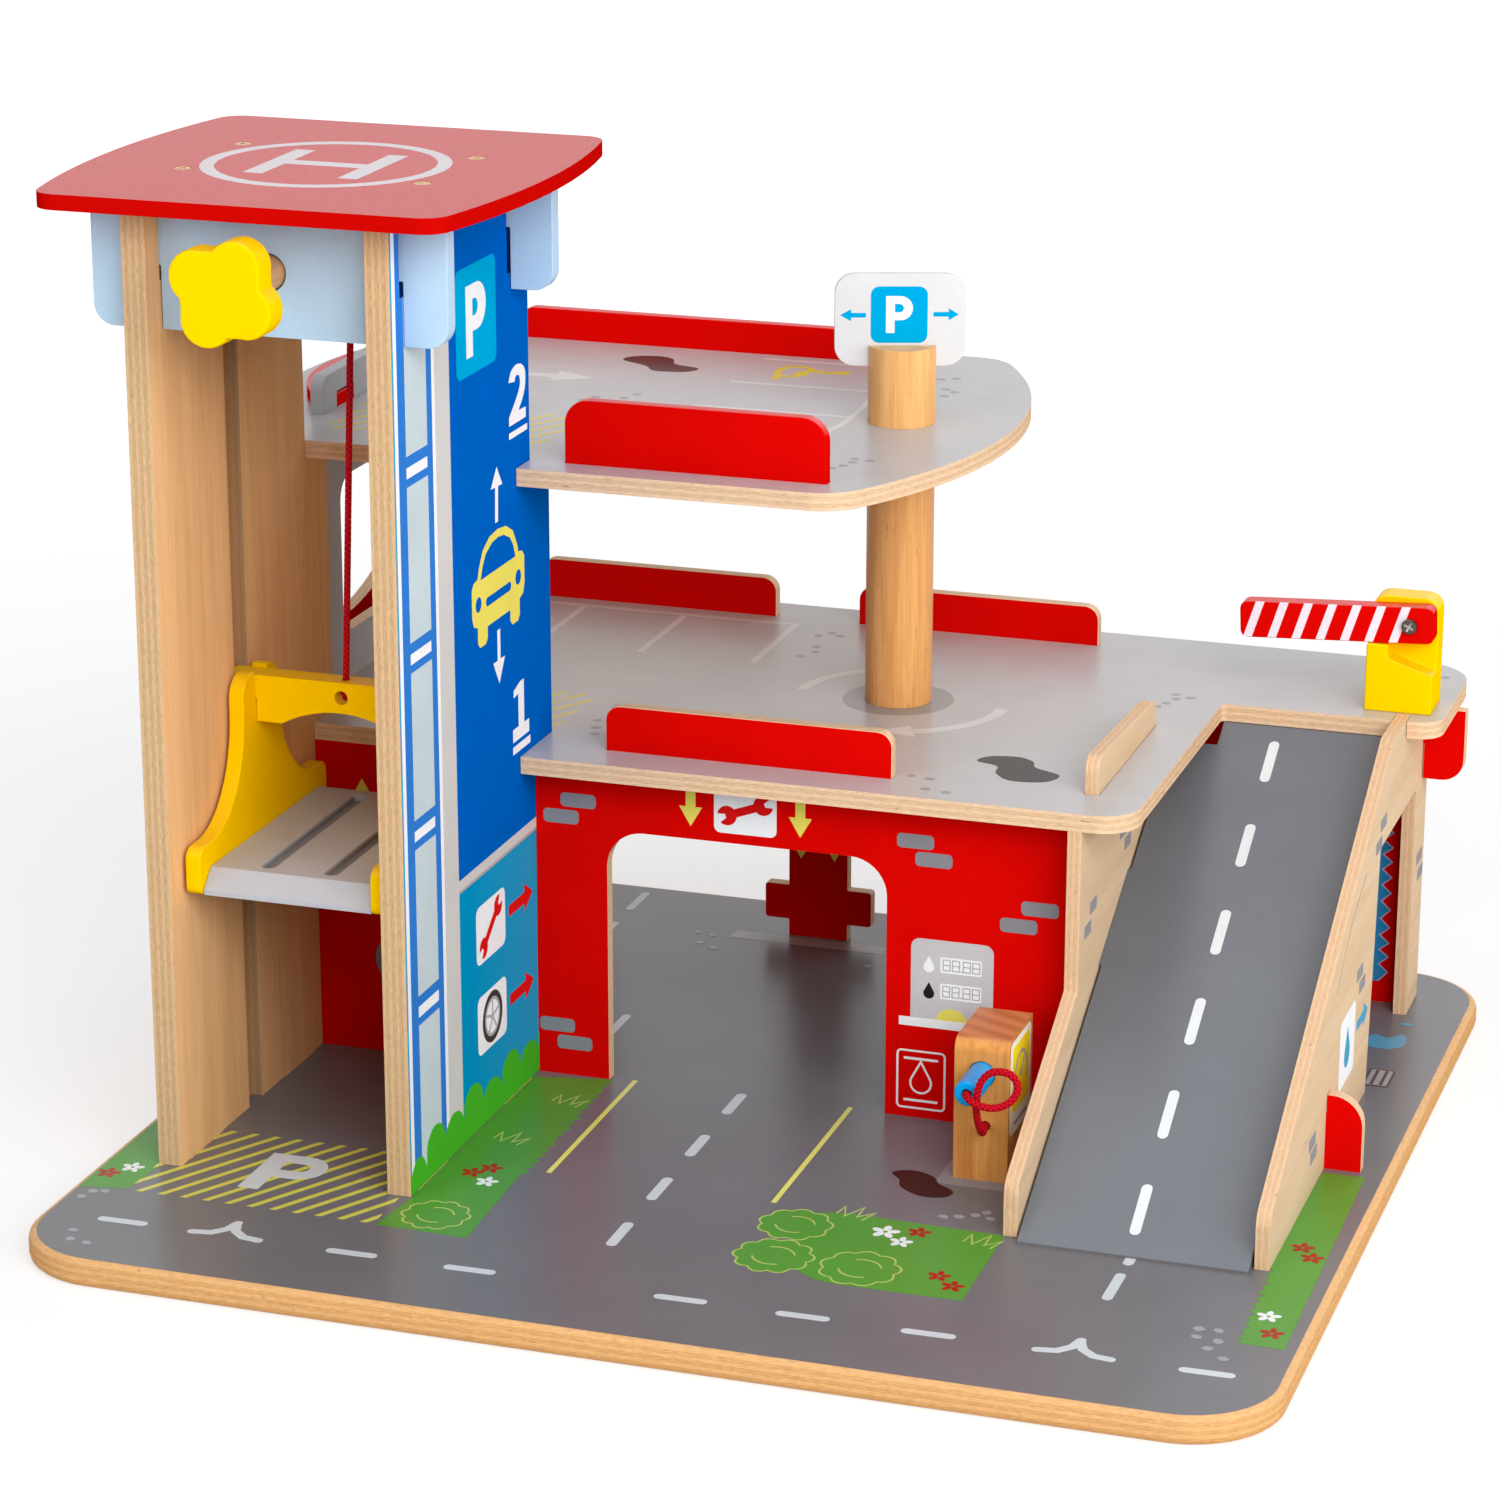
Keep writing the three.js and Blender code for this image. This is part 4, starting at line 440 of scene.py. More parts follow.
# %% Painted and solid parts
painted = {
    "roof_red": {"helipad_roof": 0.5},
    "red": {"deck_2_front_fence": 0.45, "deck_2_back_fence": 0.45, "left_kerb": 0.4, "barrier_arm": 0.5},
    "yellow": {"winch_knob": 0.1, "lift_left_cheek": 0.6, "lift_right_cheek": 0.6, "lift_cross_bar": 0.5,
               "barrier_block": 0.7},
    "pale_blue": {"front_cross_board": 0.4, "back_cross_board": 0.4},
    "mid_grey": {"left_fence": 0.4}, "white": {"sign_board": 0.3}, "blue": {"pump_nozzle": 0.4},
}
for paint, parts in painted.items():
    for name, width in parts.items():
        dress(name, paints[paint], width)

RAMP_GREY = (0.135, 0.145, 0.165)
ramp = start_finish("ramp_board_plywood", 0.34, RAMP_GREY)
bare_ramp, _ = veneer(ramp, "y", *BIRCH)
ramp.close(ramp.blend(ramp.facing("z", -1, (0.3, 0.5)), ramp.mottled(RAMP_GREY), bare_ramp))
dress("ramp_board", ramp, 0.3)

PLATE_GREY = (0.46, 0.465, 0.50)
plate_paint = start_finish("platform_paint", 0.5, PLATE_GREY)
plate_top = span("lift_platform", "z")[1]
# Paint below the platform's top, in its two tracks, is darkened to a little over half its grey: painted shade in the
# grooves.
sunk = plate_paint.spread(plate_paint.part(plate_paint.place, "z"), (plate_top - 1.6) * MM, (plate_top - 0.4) * MM,
                          1.0, 0.0)
painted_shade_in_tracks = plate_paint.times(sunk, plate_paint.except_for(plate_paint.facing("y", 0, (0.2, 0.5))))
in_shade = tuple(0.55 * part for part in PLATE_GREY)
plate_paint.close(plate_paint.blend(painted_shade_in_tracks, plate_paint.mottled(PLATE_GREY, 0.05), in_shade))
dress("lift_platform", plate_paint, 0.4)

dress("post", beech_finish("turned_beech", "z", (0.84, 0.43, 0.15), (0.63, 0.275, 0.08),
                           ((8.5, 105, 0), ((0.80, 0.50, 0.24), (0.66, 0.36, 0.15)))), 0.3)
dress("sign_dowel", beech_finish("sign_beech", "z", (0.92, 0.53, 0.20), (0.72, 0.355, 0.115)), 0.4)
dress("winch_shaft", beech_finish("shaft_beech", "y", (0.62, 0.36, 0.17), (0.50, 0.26, 0.11)), 0.4)
dress("pump_block", beech_finish("pump_beech", "z", (0.76, 0.34, 0.085), (0.55, 0.20, 0.045),
                                 ((120, 40, 0), ((0.62, 0.25, 0.095), (0.48, 0.17, 0.06)))), 0.8)

steel = start_finish("dark_zinc_steel", 0.3, (0.17, 0.135, 0.125), 1.0)
wiped = steel.noise("x", 2600, 6)
steel.link(steel.blend(wiped, (0.07, 0.05, 0.045), (0.17, 0.135, 0.125)), "Base Color")
steel.link(steel.spread(wiped, 0.3, 0.7, 0.22, 0.38), "Roughness")
worn_steel = start_finish("worn_steel", 0.45, None, 0.3)
worn_steel.link(worn_steel.blend(worn_steel.noise("x", 1800, 2), (0.55, 0.52, 0.50), (0.92, 0.90, 0.88)), "Base Color")
dress("winch_pin", steel, 0.2)
print("painted parts:", sum(len(parts) for parts in painted.values()))

# %% [markdown]
# ## Braided rope
# The lift hangs on a thin red rope, and the pump's hose is a short piece of the same kind. A round braid is
# eight yarns, four turning each way and passing over and under each other. Single yarns could be modelled as
# tubes, but a tube whose surface rises and falls in the braid's lozenges looks the same and stays one piece.

# %% The line of a rope
YARNS_EACH_WAY, DIP = 4, 0.45


def curve_points(spots, count):
    """Points on a smooth curve from the second spot up to the last but one."""
    run = []
    for a, b, c, d in zip(spots, spots[1:], spots[2:], spots[3:]):
        for part in range(count):
            t = part / count
            run.append(0.5 * (2 * b + (c - a) * t + (2 * a - 5 * b + 4 * c - d) * t * t
                              + (3 * b - a - 3 * c + d) * t ** 3))
    return run


def smooth_line(points, step):
    """Points at even steps, in metres, on a curve through the route's points."""
    dense = curve_points([points[0] * 2 - points[1], *points, points[-1] * 2 - points[-2]], 24) + [points[-1]]
    travel = [0.0]
    for a, b in zip(dense, dense[1:]):
        travel.append(travel[-1] + (b - a).length)
    count = max(2, round(travel[-1] / step))
    line, index = [], 0
    for number in range(count + 1):
        goal = travel[-1] * number / count
        while index < len(travel) - 2 and travel[index + 1] < goal:
            index += 1
        share = (goal - travel[index]) / max(travel[index + 1] - travel[index], 1e-12)
        line.append(dense[index].lerp(dense[index + 1], min(max(share, 0), 1)))
    return line, travel[-1]


def braid_height(around, travel, lay):
    """How high the braid stands, from 0 in a hollow to 1 on a yarn."""
    u = YARNS_EACH_WAY * around + YARNS_EACH_WAY * travel / lay
    v = YARNS_EACH_WAY * around - YARNS_EACH_WAY * travel / lay
    on_u, on_v = (abs(cos(pi * (value % 1 - 0.5))) for value in (u, v))
    over, under = (on_u, on_v) if (floor(u) + floor(v)) % 2 else (on_v, on_u)
    return over * (1 - DIP + DIP * under)


def wall(a, b, count):
    """Faces between two rings of that many points, which start at a and at b."""
    return [(a + n, a + (n + 1) % count, b + (n + 1) % count, b + n) for n in range(count)]


def make_mesh(name, points, faces, finishes, face_finish=None, smooth=False):
    mesh = bpy.data.meshes.new(name)
    mesh.from_pydata([tuple(point) for point in points], [], faces)
    for finish in finishes:
        mesh.materials.append(finish.owner)
    for number, polygon in enumerate(mesh.polygons):
        polygon.use_smooth = smooth
        polygon.material_index = face_finish[number] if face_finish else 0
    piece = bpy.data.objects.new(name, mesh)
    bpy.context.scene.collection.objects.link(piece)
    return piece


def stand_in(piece, node, body=None):
    """The piece takes the place of the frame's node, and rides on the body if one is given."""
    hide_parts(node)
    if body:
        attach(piece, body)


def braided_rope(name, route, radius, lay, depth=0.16, sides=24, step=0.00022):
    line, length = smooth_line(route, step)
    last = len(line) - 1
    normal = (line[1] - line[0]).orthogonal().normalized()
    points, hollows = [], []
    for number, place in enumerate(line):
        along = (line[min(number + 1, last)] - line[max(number - 1, 0)]).normalized()
        normal = (normal - along * normal.dot(along)).normalized()
        across = along.cross(normal)
        for part in range(sides):
            around = part / sides
            height = braid_height(around, length * number / last, lay)
            reach = radius * (1 - depth * (1 - height))
            angle = 2 * pi * around
            points.append(place + (normal * cos(angle) + across * sin(angle)) * reach)
            hollows.append(1 - height)
    faces = [face for ring in range(last) for face in wall(ring * sides, (ring + 1) * sides, sides)]
    faces += [tuple(range(sides - 1, -1, -1)), tuple(last * sides + part for part in range(sides))]
    rope = make_mesh(name, points, faces, [yarn], smooth=True)
    rope.data.attributes.new("hollow", "FLOAT", "POINT").data.foreach_set("value", hollows)
    return rope, line, length


yarn = start_finish("red_braided_yarn", 0.72, (0.60, 0.002, 0.012))
hollow = yarn.add("Attribute", {"attribute_name": "hollow"})["Fac"]
# The red darkens where the braid sinks between the yarns: painted shade in the hollows.
painted_shade_in_hollows = yarn.blend(yarn.spread(hollow, 0.2, 0.9), (0.68, 0.002, 0.016), (0.13, 0.0, 0.002))
# Loose fibres show as random paler flecks of red: a painted highlight on the fuzz.
fuzz_and_painted_highlight = yarn.spread(yarn.cloud(5200.0, 2.0), 0.55, 0.8, 0.0, 0.3)
yarn.link(yarn.blend(fuzz_and_painted_highlight, painted_shade_in_hollows, (0.85, 0.05, 0.07)), "Base Color")
yarn.shader.inputs["Specular IOR Level"].default_value = 0.15
print("braid: 8 yarns, 4 each way")

# %% [markdown]
# ## The pump's hose
# The hose leaves the blue nozzle, falls into one loop at the front of the pump and goes back into the pump's
# lower hole. Its route has the points of the frame's own hose.

# %% Hose
hose_route = [Vector(point) * MM for point in (
    (88.1, -64, 53.5), (88.1, -68, 53.5), (88.1, -72, 53.5), (88.9, -74.6, 53.9), (91.2, -77.8, 53.6),
    (94.9, -79, 52.7), (99.1, -79, 52.2), (103, -78.2, 52.9), (106.5, -77.2, 55.1), (108.4, -76, 58.5),
    (108, -75.2, 62.1), (105.3, -74.6, 64.6), (101.4, -74.4, 65.1), (97.6, -74.4, 64), (94.8, -74.5, 61),
    (93.3, -74.6, 57.1), (92.7, -74.6, 53.3), (92.5, -74, 49.2), (92.3, -71.8, 44.6), (92, -68, 39.9),
    (91.7, -63.4, 35.8), (91, -58.8, 33.6), (90.3, -55, 33), (89.9, -51, 33), (89.9, -47, 33), (89.9, -43, 33),
)]
hose, hose_line, hose_length = braided_rope("braided_hose", hose_route, 1.55 * MM, 0.0078, 0.24)
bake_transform(hose)
stand_in(hose, "pump_hose")
print("hose:", round(hose_length / MM, 1), "mm")

# %% [markdown]
# ## The lift's rope
# The rope comes down from the winch, through a hole in the lift's yellow bar, and ends in a knot. Two and a
# half turns of it lie on the shaft. The straight part starts inside the first turn and reaches from the winch
# to the lift, the turns ride on the winch, and the knot rides on the lift.

# %% Rope, turns and knot
ROPE_TOP, ROPE_END = (Vector(place) * MM for place in ((-153.0, -64.6, 353.3), (-160.0, -64.6, 184.9)))
SHAFT_MIDDLE, KNOT_MIDDLE = Vector((-161.0, -64.6, 356.0)), Vector((-160.0, -64.6, 182.2)) * MM
INTO_FIRST_TURN = Vector((0, 0, 2.7)) * MM
rope_start = ROPE_TOP + INTO_FIRST_TURN
rope_route = [rope_start.lerp(ROPE_END, step / 8) for step in range(9)]
lift_rope, _, rope_length = braided_rope("braided_lift_rope", rope_route, 1.4 * MM, 0.009, 0.3)
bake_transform(lift_rope)
stand_in(lift_rope, "lift_rope")

TURNS, TURN_STEPS, TURN_RADIUS, TURN_PITCH, TAIL = 2.5, 24, 8.0, 3.0, Vector((0, 0, 2.4))
turns = []
for step in range(int(TURNS * TURN_STEPS) + 1):
    angle = 2 * pi * step / TURN_STEPS
    turns.append(SHAFT_MIDDLE + Vector((TURN_RADIUS * cos(angle), TURN_PITCH * step / TURN_STEPS,
                                        TURN_RADIUS * sin(angle))))
turns = [turns[0] - TAIL, *turns, turns[-1] - TAIL]
wound, _, wound_length = braided_rope("braided_turns", [point * MM for point in turns], 1.2 * MM, 0.0062, sides=20,
                                      step=0.0003)
stand_in(wound, "rope_winding", "winch")


def knot_point(share):
    angle = 2 * pi * share
    return Vector((
        sin(angle) + 2 * sin(2 * angle),
        0.9 * -sin(3 * angle),
        cos(angle) - 2 * cos(2 * angle),
    )) * 0.42 * MM + KNOT_MIDDLE


knot, _, _ = braided_rope("tied_knot", [knot_point(step / 48) for step in range(48)], 1.02 * MM, 0.0062, sides=16,
                          step=0.0003)
stand_in(knot, "rope_knot", "lift")
print("lift rope:", round(rope_length / MM, 1), "mm and", round(wound_length / MM, 1), "mm on the shaft")

# %% [markdown]
# ## Screws
# Four brass screws hold the roof to the tower, and a steel one carries the barrier's arm. A cross-head screw
# is a round head with a cross sunk into it. The head is drawn as rings from the rim to the edge of the cross,
# and the cross's walls go down to a small floor.

# %% Cross-head screws
HEAD_RADIUS, FLAT_SHARE, RIM_POINTS, CROSS_POINTS = 3.2, 0.8, 40, 12


def filled(rings):
    """Triangles between the first ring and the others, which are holes in it."""
    return geometry.tessellate_polygon([[Vector((u, v, 0)) for u, v in ring] for ring in rings])


def screw(node, name, out, dome, depth, shank, finish, recess, turned):
    """A cross-head in place of the node, with its shank going into the wood."""
    low, high = (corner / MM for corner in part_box(node))
    out = Vector(out)
    half_length = abs((high - low).dot(out)) / 2
    centre = (low + high) / 2 + out * half_length
    first = out.orthogonal().normalized()
    second = out.cross(first)
    c, s = cos(turned), sin(turned)
    points = []

    def ring(pairs, size, height):
        points.extend((centre + first * (u * c - v * s) * size + second * (u * s + v * c) * size + out * height) * MM
                      for u, v in pairs)
        return len(points) - len(pairs)

    rim = [(cos(2 * pi * n / RIM_POINTS), sin(2 * pi * n / RIM_POINTS)) for n in range(RIM_POINTS)]
    arm, half = HEAD_RADIUS * 0.62, HEAD_RADIUS * 0.13
    shoulder = HEAD_RADIUS * FLAT_SHARE
    cross = [(a * u - b * v, b * u + a * v) for a, b in ((1, 0), (0, -1), (-1, 0), (0, 1))
             for u, v in ((half, half), (arm, half), (arm, -half))]
    previous, cross_start = ring(rim, shoulder, 0.0), ring(cross, 1.0, 0.0)
    faces = [tuple(triangle) for triangle in filled([[(u * shoulder, v * shoulder) for u, v in rim], cross])]
    bends = [step / 4 * pi / 2 for step in range(1, 5)]
    levels = [(HEAD_RADIUS * (FLAT_SHARE + (1 - FLAT_SHARE) * sin(bend)), -dome * (1 - cos(bend))) for bend in bends]
    for reach, height in (*levels, (shank, -depth), (shank, -2 * half_length)):
        current = ring(rim, reach, height)
        faces += wall(previous, current, RIM_POINTS)
        previous = current
    faces.append(tuple(previous + n for n in range(RIM_POINTS)))
    sunk = len(faces)
    floor_start = ring(cross, 0.55, -depth * 0.75)
    faces += wall(cross_start, floor_start, CROSS_POINTS)
    faces += [tuple(floor_start + i for i in triangle) for triangle in filled([cross])]
    piece = make_mesh(name, points, faces, [finish, recess], [int(n >= sunk) for n in range(len(faces))])
    shape = bmesh.new()
    shape.from_mesh(piece.data)
    bmesh.ops.recalc_face_normals(shape, faces=shape.faces)
    shape.to_mesh(piece.data)
    shape.free()
    stand_in(piece, node, "root")


brass = start_finish("aged_brass", 0.3, (0.72, 0.48, 0.20), 1.0)
tarnish = brass.spread(brass.cloud(900.0, 3.0), 0.4, 0.7)
brass.link(brass.blend(tarnish, (0.80, 0.58, 0.28), (0.45, 0.30, 0.14)), "Base Color")
for number in range(1, 5):
    screw(f"roof_screw_{number}", f"roof_cross_head_{number}", (0, 0, 1), 0.25, 2.0, 1.4, brass, brass,
          0.4 * number)
screw("barrier_screw", "barrier_cross_head", (0, -1, 0), 1.1, 2.2, 1.5, steel, worn_steel, 0.35)
print("screws: 4 of brass and 1 of steel")

# %% [markdown]
# ## Shapes for the prints
# Roads, signs and arrows are printed on the boards. Each print here is a very thin slab of ink, with real
# outlines that stay sharp from close by, and its layers lie a few hundredths of a millimetre apart. The
# helpers below draw outlines in millimetres on a flat sheet. A shape is a list of rings: its outside, then
# its holes.

# %% Outlines
def arc(u, v, radius, start, end, count=None):
    count = count or max(3, round(abs(end - start) / 9))
    angles = (radians(start + (end - start) * n / count) for n in range(count + 1))
    return [(u + radius * cos(angle), v + radius * sin(angle)) for angle in angles]


def disc(u, v, radius, hole=0):
    return [arc(u, v, reach, 0, 360)[:-1] for reach in (radius, hole) if reach]


def bar(u0, v0, u1, v1):
    return [[(u0, v0), (u1, v0), (u1, v1), (u0, v1)]]


def plate(u0, v0, u1, v1, radius, frame_width=0):
    """A bar with round corners, or only its frame."""
    rings = []
    for inset in (0, frame_width) if frame_width else (0,):
        r = max(radius - inset, 0.05)
        a, b, c, d = u0 + inset + r, v0 + inset + r, u1 - inset - r, v1 - inset - r
        corners = ((c, b, -90), (c, d, 0), (a, d, 90), (a, b, 180))
        rings.append([point for u, v, start in corners for point in arc(u, v, r, start, start + 90, 5)])
    return rings


def stroke(points, width, caps=True):
    """A line of that width, with round ends."""
    half = width / 2
    spots = [Vector(point) for point in points]
    ways = [(b - a).normalized() for a, b in zip(spots, spots[1:])]
    left, right = [], []
    for spot, before, after in zip(spots, ways[:1] + ways, ways + ways[-1:]):
        mean = (before + after).normalized()
        out = Vector((-mean.y, mean.x)) * half / max(mean.dot(after), 0.4)
        left.append(tuple(spot + out))
        right.append(tuple(spot - out))
    if not caps:
        return [right + left[::-1]]
    start, end = (degrees(atan2(way.y, way.x)) for way in (ways[0], ways[-1]))
    return [right[1:-1] + arc(*spots[-1], half, end - 90, end + 90, 8) + left[1:-1][::-1]
            + arc(*spots[0], half, start + 90, start + 270, 8)]


def dash(u, v0, v1, width):
    return stroke([(u, v0), (u, v1)], width)


def arrow(tail, tip, shaft, head, head_length):
    a, b = Vector(tail), Vector(tip)
    way = (b - a).normalized()
    out = Vector((-way.y, way.x)) / 2
    neck = b - way * head_length
    return [[tuple(spot) for spot in (a - out * shaft, neck - out * shaft, neck - out * head, b, neck + out * head,
                                      neck + out * shaft, a + out * shaft)]]


def round_arrow(u, v, radius, start, end, shaft, head, head_angle):
    """An arrow bent round a centre, from one angle to its tip at the other."""
    neck = end - copysign(head_angle, end - start)
    flare = [arc(u, v, reach, angle, angle, 1)[0]
             for reach, angle in ((radius + head / 2, neck), (radius, end), (radius - head / 2, neck))]
    return [arc(u, v, radius + shaft / 2, start, neck) + flare + arc(u, v, radius - shaft / 2, neck, start)]


def bend(points, count=6):
    """An open smooth line through the points."""
    spots = [Vector(point) for point in points]
    return [tuple(spot) for spot in curve_points([spots[0], *spots, spots[-1]], count)] + [points[-1]]


def soft_shape(points, count=6):
    """A closed smooth outline through the points."""
    spots = [Vector(point) for point in points]
    return [[tuple(spot) for spot in curve_points([spots[-1], *spots, *spots[:2]], count)]]


def placed(rings, u, v, size=1.0, turned=0.0):
    c, s = cos(radians(turned)), sin(radians(turned))
    return [[(u + size * (c * a - s * b), v + size * (s * a + c * b)) for a, b in ring] for ring in rings]


print("outlines: disc, bar, plate, stroke, arrows and soft shapes")

# %% [markdown]
# ## Letters, digits and small signs
# The garage has the plain letters P and H, the numbers of its two decks, and signs for a workshop, a wheel
# and fuel. They are drawn from straight lines and arcs near the corner of a sheet, and then set in place.

# %% Letters and signs
def letter_p(width, height, stem, low, hole_right, hole_half):
    r = (height - low) / 2
    outer = [(0, 0), (stem, 0), (stem, low)] + arc(width - r, height - r, r, -90, 90, 14) + [(0, height)]
    hole = arc(hole_right - hole_half, height - r, hole_half, -90, 90, 12)
    return [outer, [(stem + 0.1, height - r - hole_half), *hole, (stem + 0.1, height - r + hole_half)]]


def letter_h(width, height, stem):
    inner, low, high = width - stem, (height - stem) / 2, (height + stem) / 2
    return [[(0, 0), (stem, 0), (stem, low), (inner, low), (inner, 0), (width, 0), (width, height), (inner, height),
             (inner, high), (stem, high), (stem, height), (0, height)]]


DIGIT_TWO = [bend([(-0.1, 16.9), (2, 20.2), (5, 21.8), (8.6, 22.3), (13, 21.6), (16.4, 19.4), (17.5, 16.4), (17, 12.2),
                   (14.6, 8.4), (9.9, 4.3)], 4) + [(17.4, 4), (17.4, 0), (0, 0)]
             + bend([(0, 3.4), (7.2, 8.9), (10.9, 12.4), (11.9, 15), (11, 17.3), (8.8, 18.2), (6.9, 17.6),
                     (6.2, 16.1)], 4)]
DIGIT_ONE = [[(0, 0), (17.2, 0), (17.2, 5.2), (12, 5.2), (12, 22.8), (8.4, 22.8), (1.1, 20.6), (1.3, 17.8),
              (6.1, 18.4), (6.1, 5.2), (0, 5.2)]]


def spanner(length, width):
    """A double-ended spanner along u, with an open jaw at each end."""
    half, head = width / 2, width * 1.25
    end = length / 2 - head * 0.6
    jaw = [(end + head * 0.15, -half * 0.5), (end + head * 0.15, half * 0.5)]
    right = arc(end, 0, head, -155, -28, 8) + jaw + arc(end, 0, head, 28, 155, 8)
    return [right + [(-u, -v) for u, v in right]]


def drop(radius, u, v):
    return placed([arc(0, 0, radius, -210, 30, 14) + [(0, radius * 2.1)]], u, v)


def eight(width, height, pen):
    """A display's eight, drawn as thin double lines."""
    middle = height / 2
    holes = ((pen, middle - pen / 2), (middle + pen / 2, height - pen))
    return bar(0, 0, width, height) + [bar(pen, low, width - pen, high)[0] for low, high in holes]


def petals(u, v, radius, turned):
    """Five separate long petals about a middle."""
    leaf = [(radius * (0.57 + 0.43 * a), radius * 0.26 * b) for a, b in arc(0, 0, 1, 0, 345, 15)]
    return [placed([leaf], u, v, 1.0, turned + 72 * number) for number in range(5)]


def shrub(lobes, radius):
    """A round bush with a scalloped rim."""
    turns = [2 * pi * step / (lobes * 8) for step in range(lobes * 8)]
    reach = [radius * (0.87 + 0.13 * abs(sin(lobes * turn / 2))) for turn in turns]
    return [[(far * cos(turn), far * sin(turn)) for far, turn in zip(reach, turns)]]


print("letters and signs are ready")

# %% Inks
INKS = {
    "white": (0.84, 0.85, 0.87), "road_white": (0.61, 0.66, 0.70), "deck_white": (0.66, 0.64, 0.63),
    "yellow": (0.80, 0.70, 0.12), "road_yellow": (0.64, 0.62, 0.09), "deck_yellow": (0.72, 0.58, 0.04),
    "navy": NAVY, "teal": (0.0, 0.36, 0.66), "frame_blue": (0.03, 0.19, 0.60),
    "glass": (0.52, 0.615, 0.645), "strip_grey": (0.59, 0.58, 0.565), "strip_dark": (0.40, 0.38, 0.38),
    "red": (0.66, 0.008, 0.008), "grass": (0.085, 0.31, 0.035), "hedge": (0.06, 0.42, 0.02),
    "leaf_line": (0.44, 0.55, 0.13), "flower_red": (0.40, 0.008, 0.0), "brick": (0.245, 0.24, 0.265),
    "panel_grey": (0.56, 0.53, 0.545), "black": (0.015, 0.014, 0.016), "oil": (0.03, 0.008, 0.006),
    "deck_oil": (0.035, 0.024, 0.023), "pebble": (0.33, 0.34, 0.36), "deck_pebble": (0.30, 0.285, 0.28),
    "ramp_white": (0.72, 0.75, 0.76), "cyan": (0.0, 0.37, 0.70), "disc_grey": (0.30, 0.29, 0.285),
    "pad_grey": (0.25, 0.245, 0.26), "strip_pale": (0.36, 0.35, 0.36), "puddle": (0.08, 0.34, 0.54),
    "bright_yellow": (0.90, 0.72, 0.02), "helipad_white": (0.66, 0.60, 0.64), "brush_blue": (0.03, 0.24, 0.50),
    "lilac": (0.42, 0.40, 0.62), "tyre": (0.06, 0.045, 0.045), "rim_grey": (0.42, 0.42, 0.44),
    "ramp_brick": (0.30, 0.29, 0.31), "arm_white": (0.84, 0.74, 0.80), "drain_brown": (0.10, 0.06, 0.05),
    "pencil": (0.34, 0.25, 0.19), "line_yellow": (0.80, 0.78, 0.17),
}
DULLER = {"oil": 0.2, "deck_oil": 0.2, "grass": 0.3, "flower_red": 0.25}
sky = start_finish("ink_sky", 0.32, (0.01, 0.2, 0.42))
to_the_back = sky.spread(sky.part(sky.place, "y"), -0.07, 0.02)
sky.close(sky.blend(to_the_back, (0.0, 0.27, 0.52), (0.035, 0.31, 0.56)))
ink_finishes = {"sky": sky}
for name, colour in INKS.items():
    ink = start_finish("ink_" + name, 0.32, colour)
    ink.close(ink.mottled(colour, 0.05), flat=DULLER.get(name, 0.5))
    ink_finishes[name] = ink
print("inks:", len(ink_finishes))

# %% [markdown]
# ## Lay a print on a board
# A print knows the board's surface: a place on it and two directions. Every shape becomes a closed slab, from
# just inside the board to its own layer's height, so that no layer shares a surface with the next.

# %% Prints on boards
INK_STEP, LOWEST_INK, ROOT_OF_INK = 0.045, 0.02, -0.05
LYING, FACING_FRONT, FACING_RIGHT = ((1, 0, 0), (0, 1, 0)), ((1, 0, 0), (0, 0, 1)), ((0, 1, 0), (0, 0, 1))
ROAD_TOP, DECK_1_TOP, DECK_2_TOP, ROOF_TOP = (0, 0, 10.5), (0, 0, 147.3), (0, 0, 262.5), (0, 0, 385.3)
FRONT_WALL, BACK_WALL, BARRIER_ARM = (0, 1.5, 0), (0, 183, 0), (0, 150.7, 0)
TOWER_SIDE, RAMP_LEFT, RAMP_RIGHT, PUMP_SIDE = (-109.35, 0, 0), (115.3, 0, 0), (209, 0, 0), (98.7, 0, 0)


def twice_area(ring):
    return sum(a[0] * b[1] - a[1] * b[0] for a, b in zip(ring, ring[1:] + ring[:1]))


def lay_print(name, origin, sheet, groups, body="root"):
    """A group is an ink, a layer and shapes in millimetres, each a quarter of a layer above the last."""
    origin, right, up = (Vector(part) for part in (origin, *sheet))
    out = right.cross(up)
    points, faces, face_finish, inks = [], [], [], list(dict.fromkeys(group[0] for group in groups))
    shapes = [(colour, layer + number % 4 / 4, rings)
              for colour, layer, *group in groups for number, rings in enumerate(group)]
    for colour, layer, rings in shapes:
        start = len(points)
        flat = [pair for ring in rings for pair in ring]
        for height in (INK_STEP * layer + LOWEST_INK, ROOT_OF_INK):
            points += [(origin + right * u + up * v + out * height) * MM for u, v in flat]
        for a, b, c in filled(rings):
            if twice_area([flat[a], flat[b], flat[c]]) < 0:
                b, c = c, b
            below = start + len(flat)
            faces += [(start + a, start + b, start + c), (below + c, below + b, below + a)]
        for number, ring in enumerate(rings):
            sides = wall(start + len(flat), start, len(ring))
            faces += sides if (twice_area(ring) > 0) == (number == 0) else [side[::-1] for side in sides]
            start += len(ring)
        face_finish += [inks.index(colour)] * (len(faces) - len(face_finish))
    piece = make_mesh(name, points, faces, [ink_finishes[colour] for colour in inks], face_finish)
    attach(piece, body)
    print(name + ":", len(shapes), "shapes in", len(inks), "inks")

# %% [markdown]
# ## The road on the base board
# The base is one dark road with dashed lines, a hatched bay in front of the lift, grass beds and a few
# stones. Straight lines are bars and strokes. The grass has a ragged edge, and its bushes and flowers are of
# the simplest kind, so that the print stays a plain one.

# %% Road print
BAY_ANGLE, BAY_PITCH = 60, 9.1


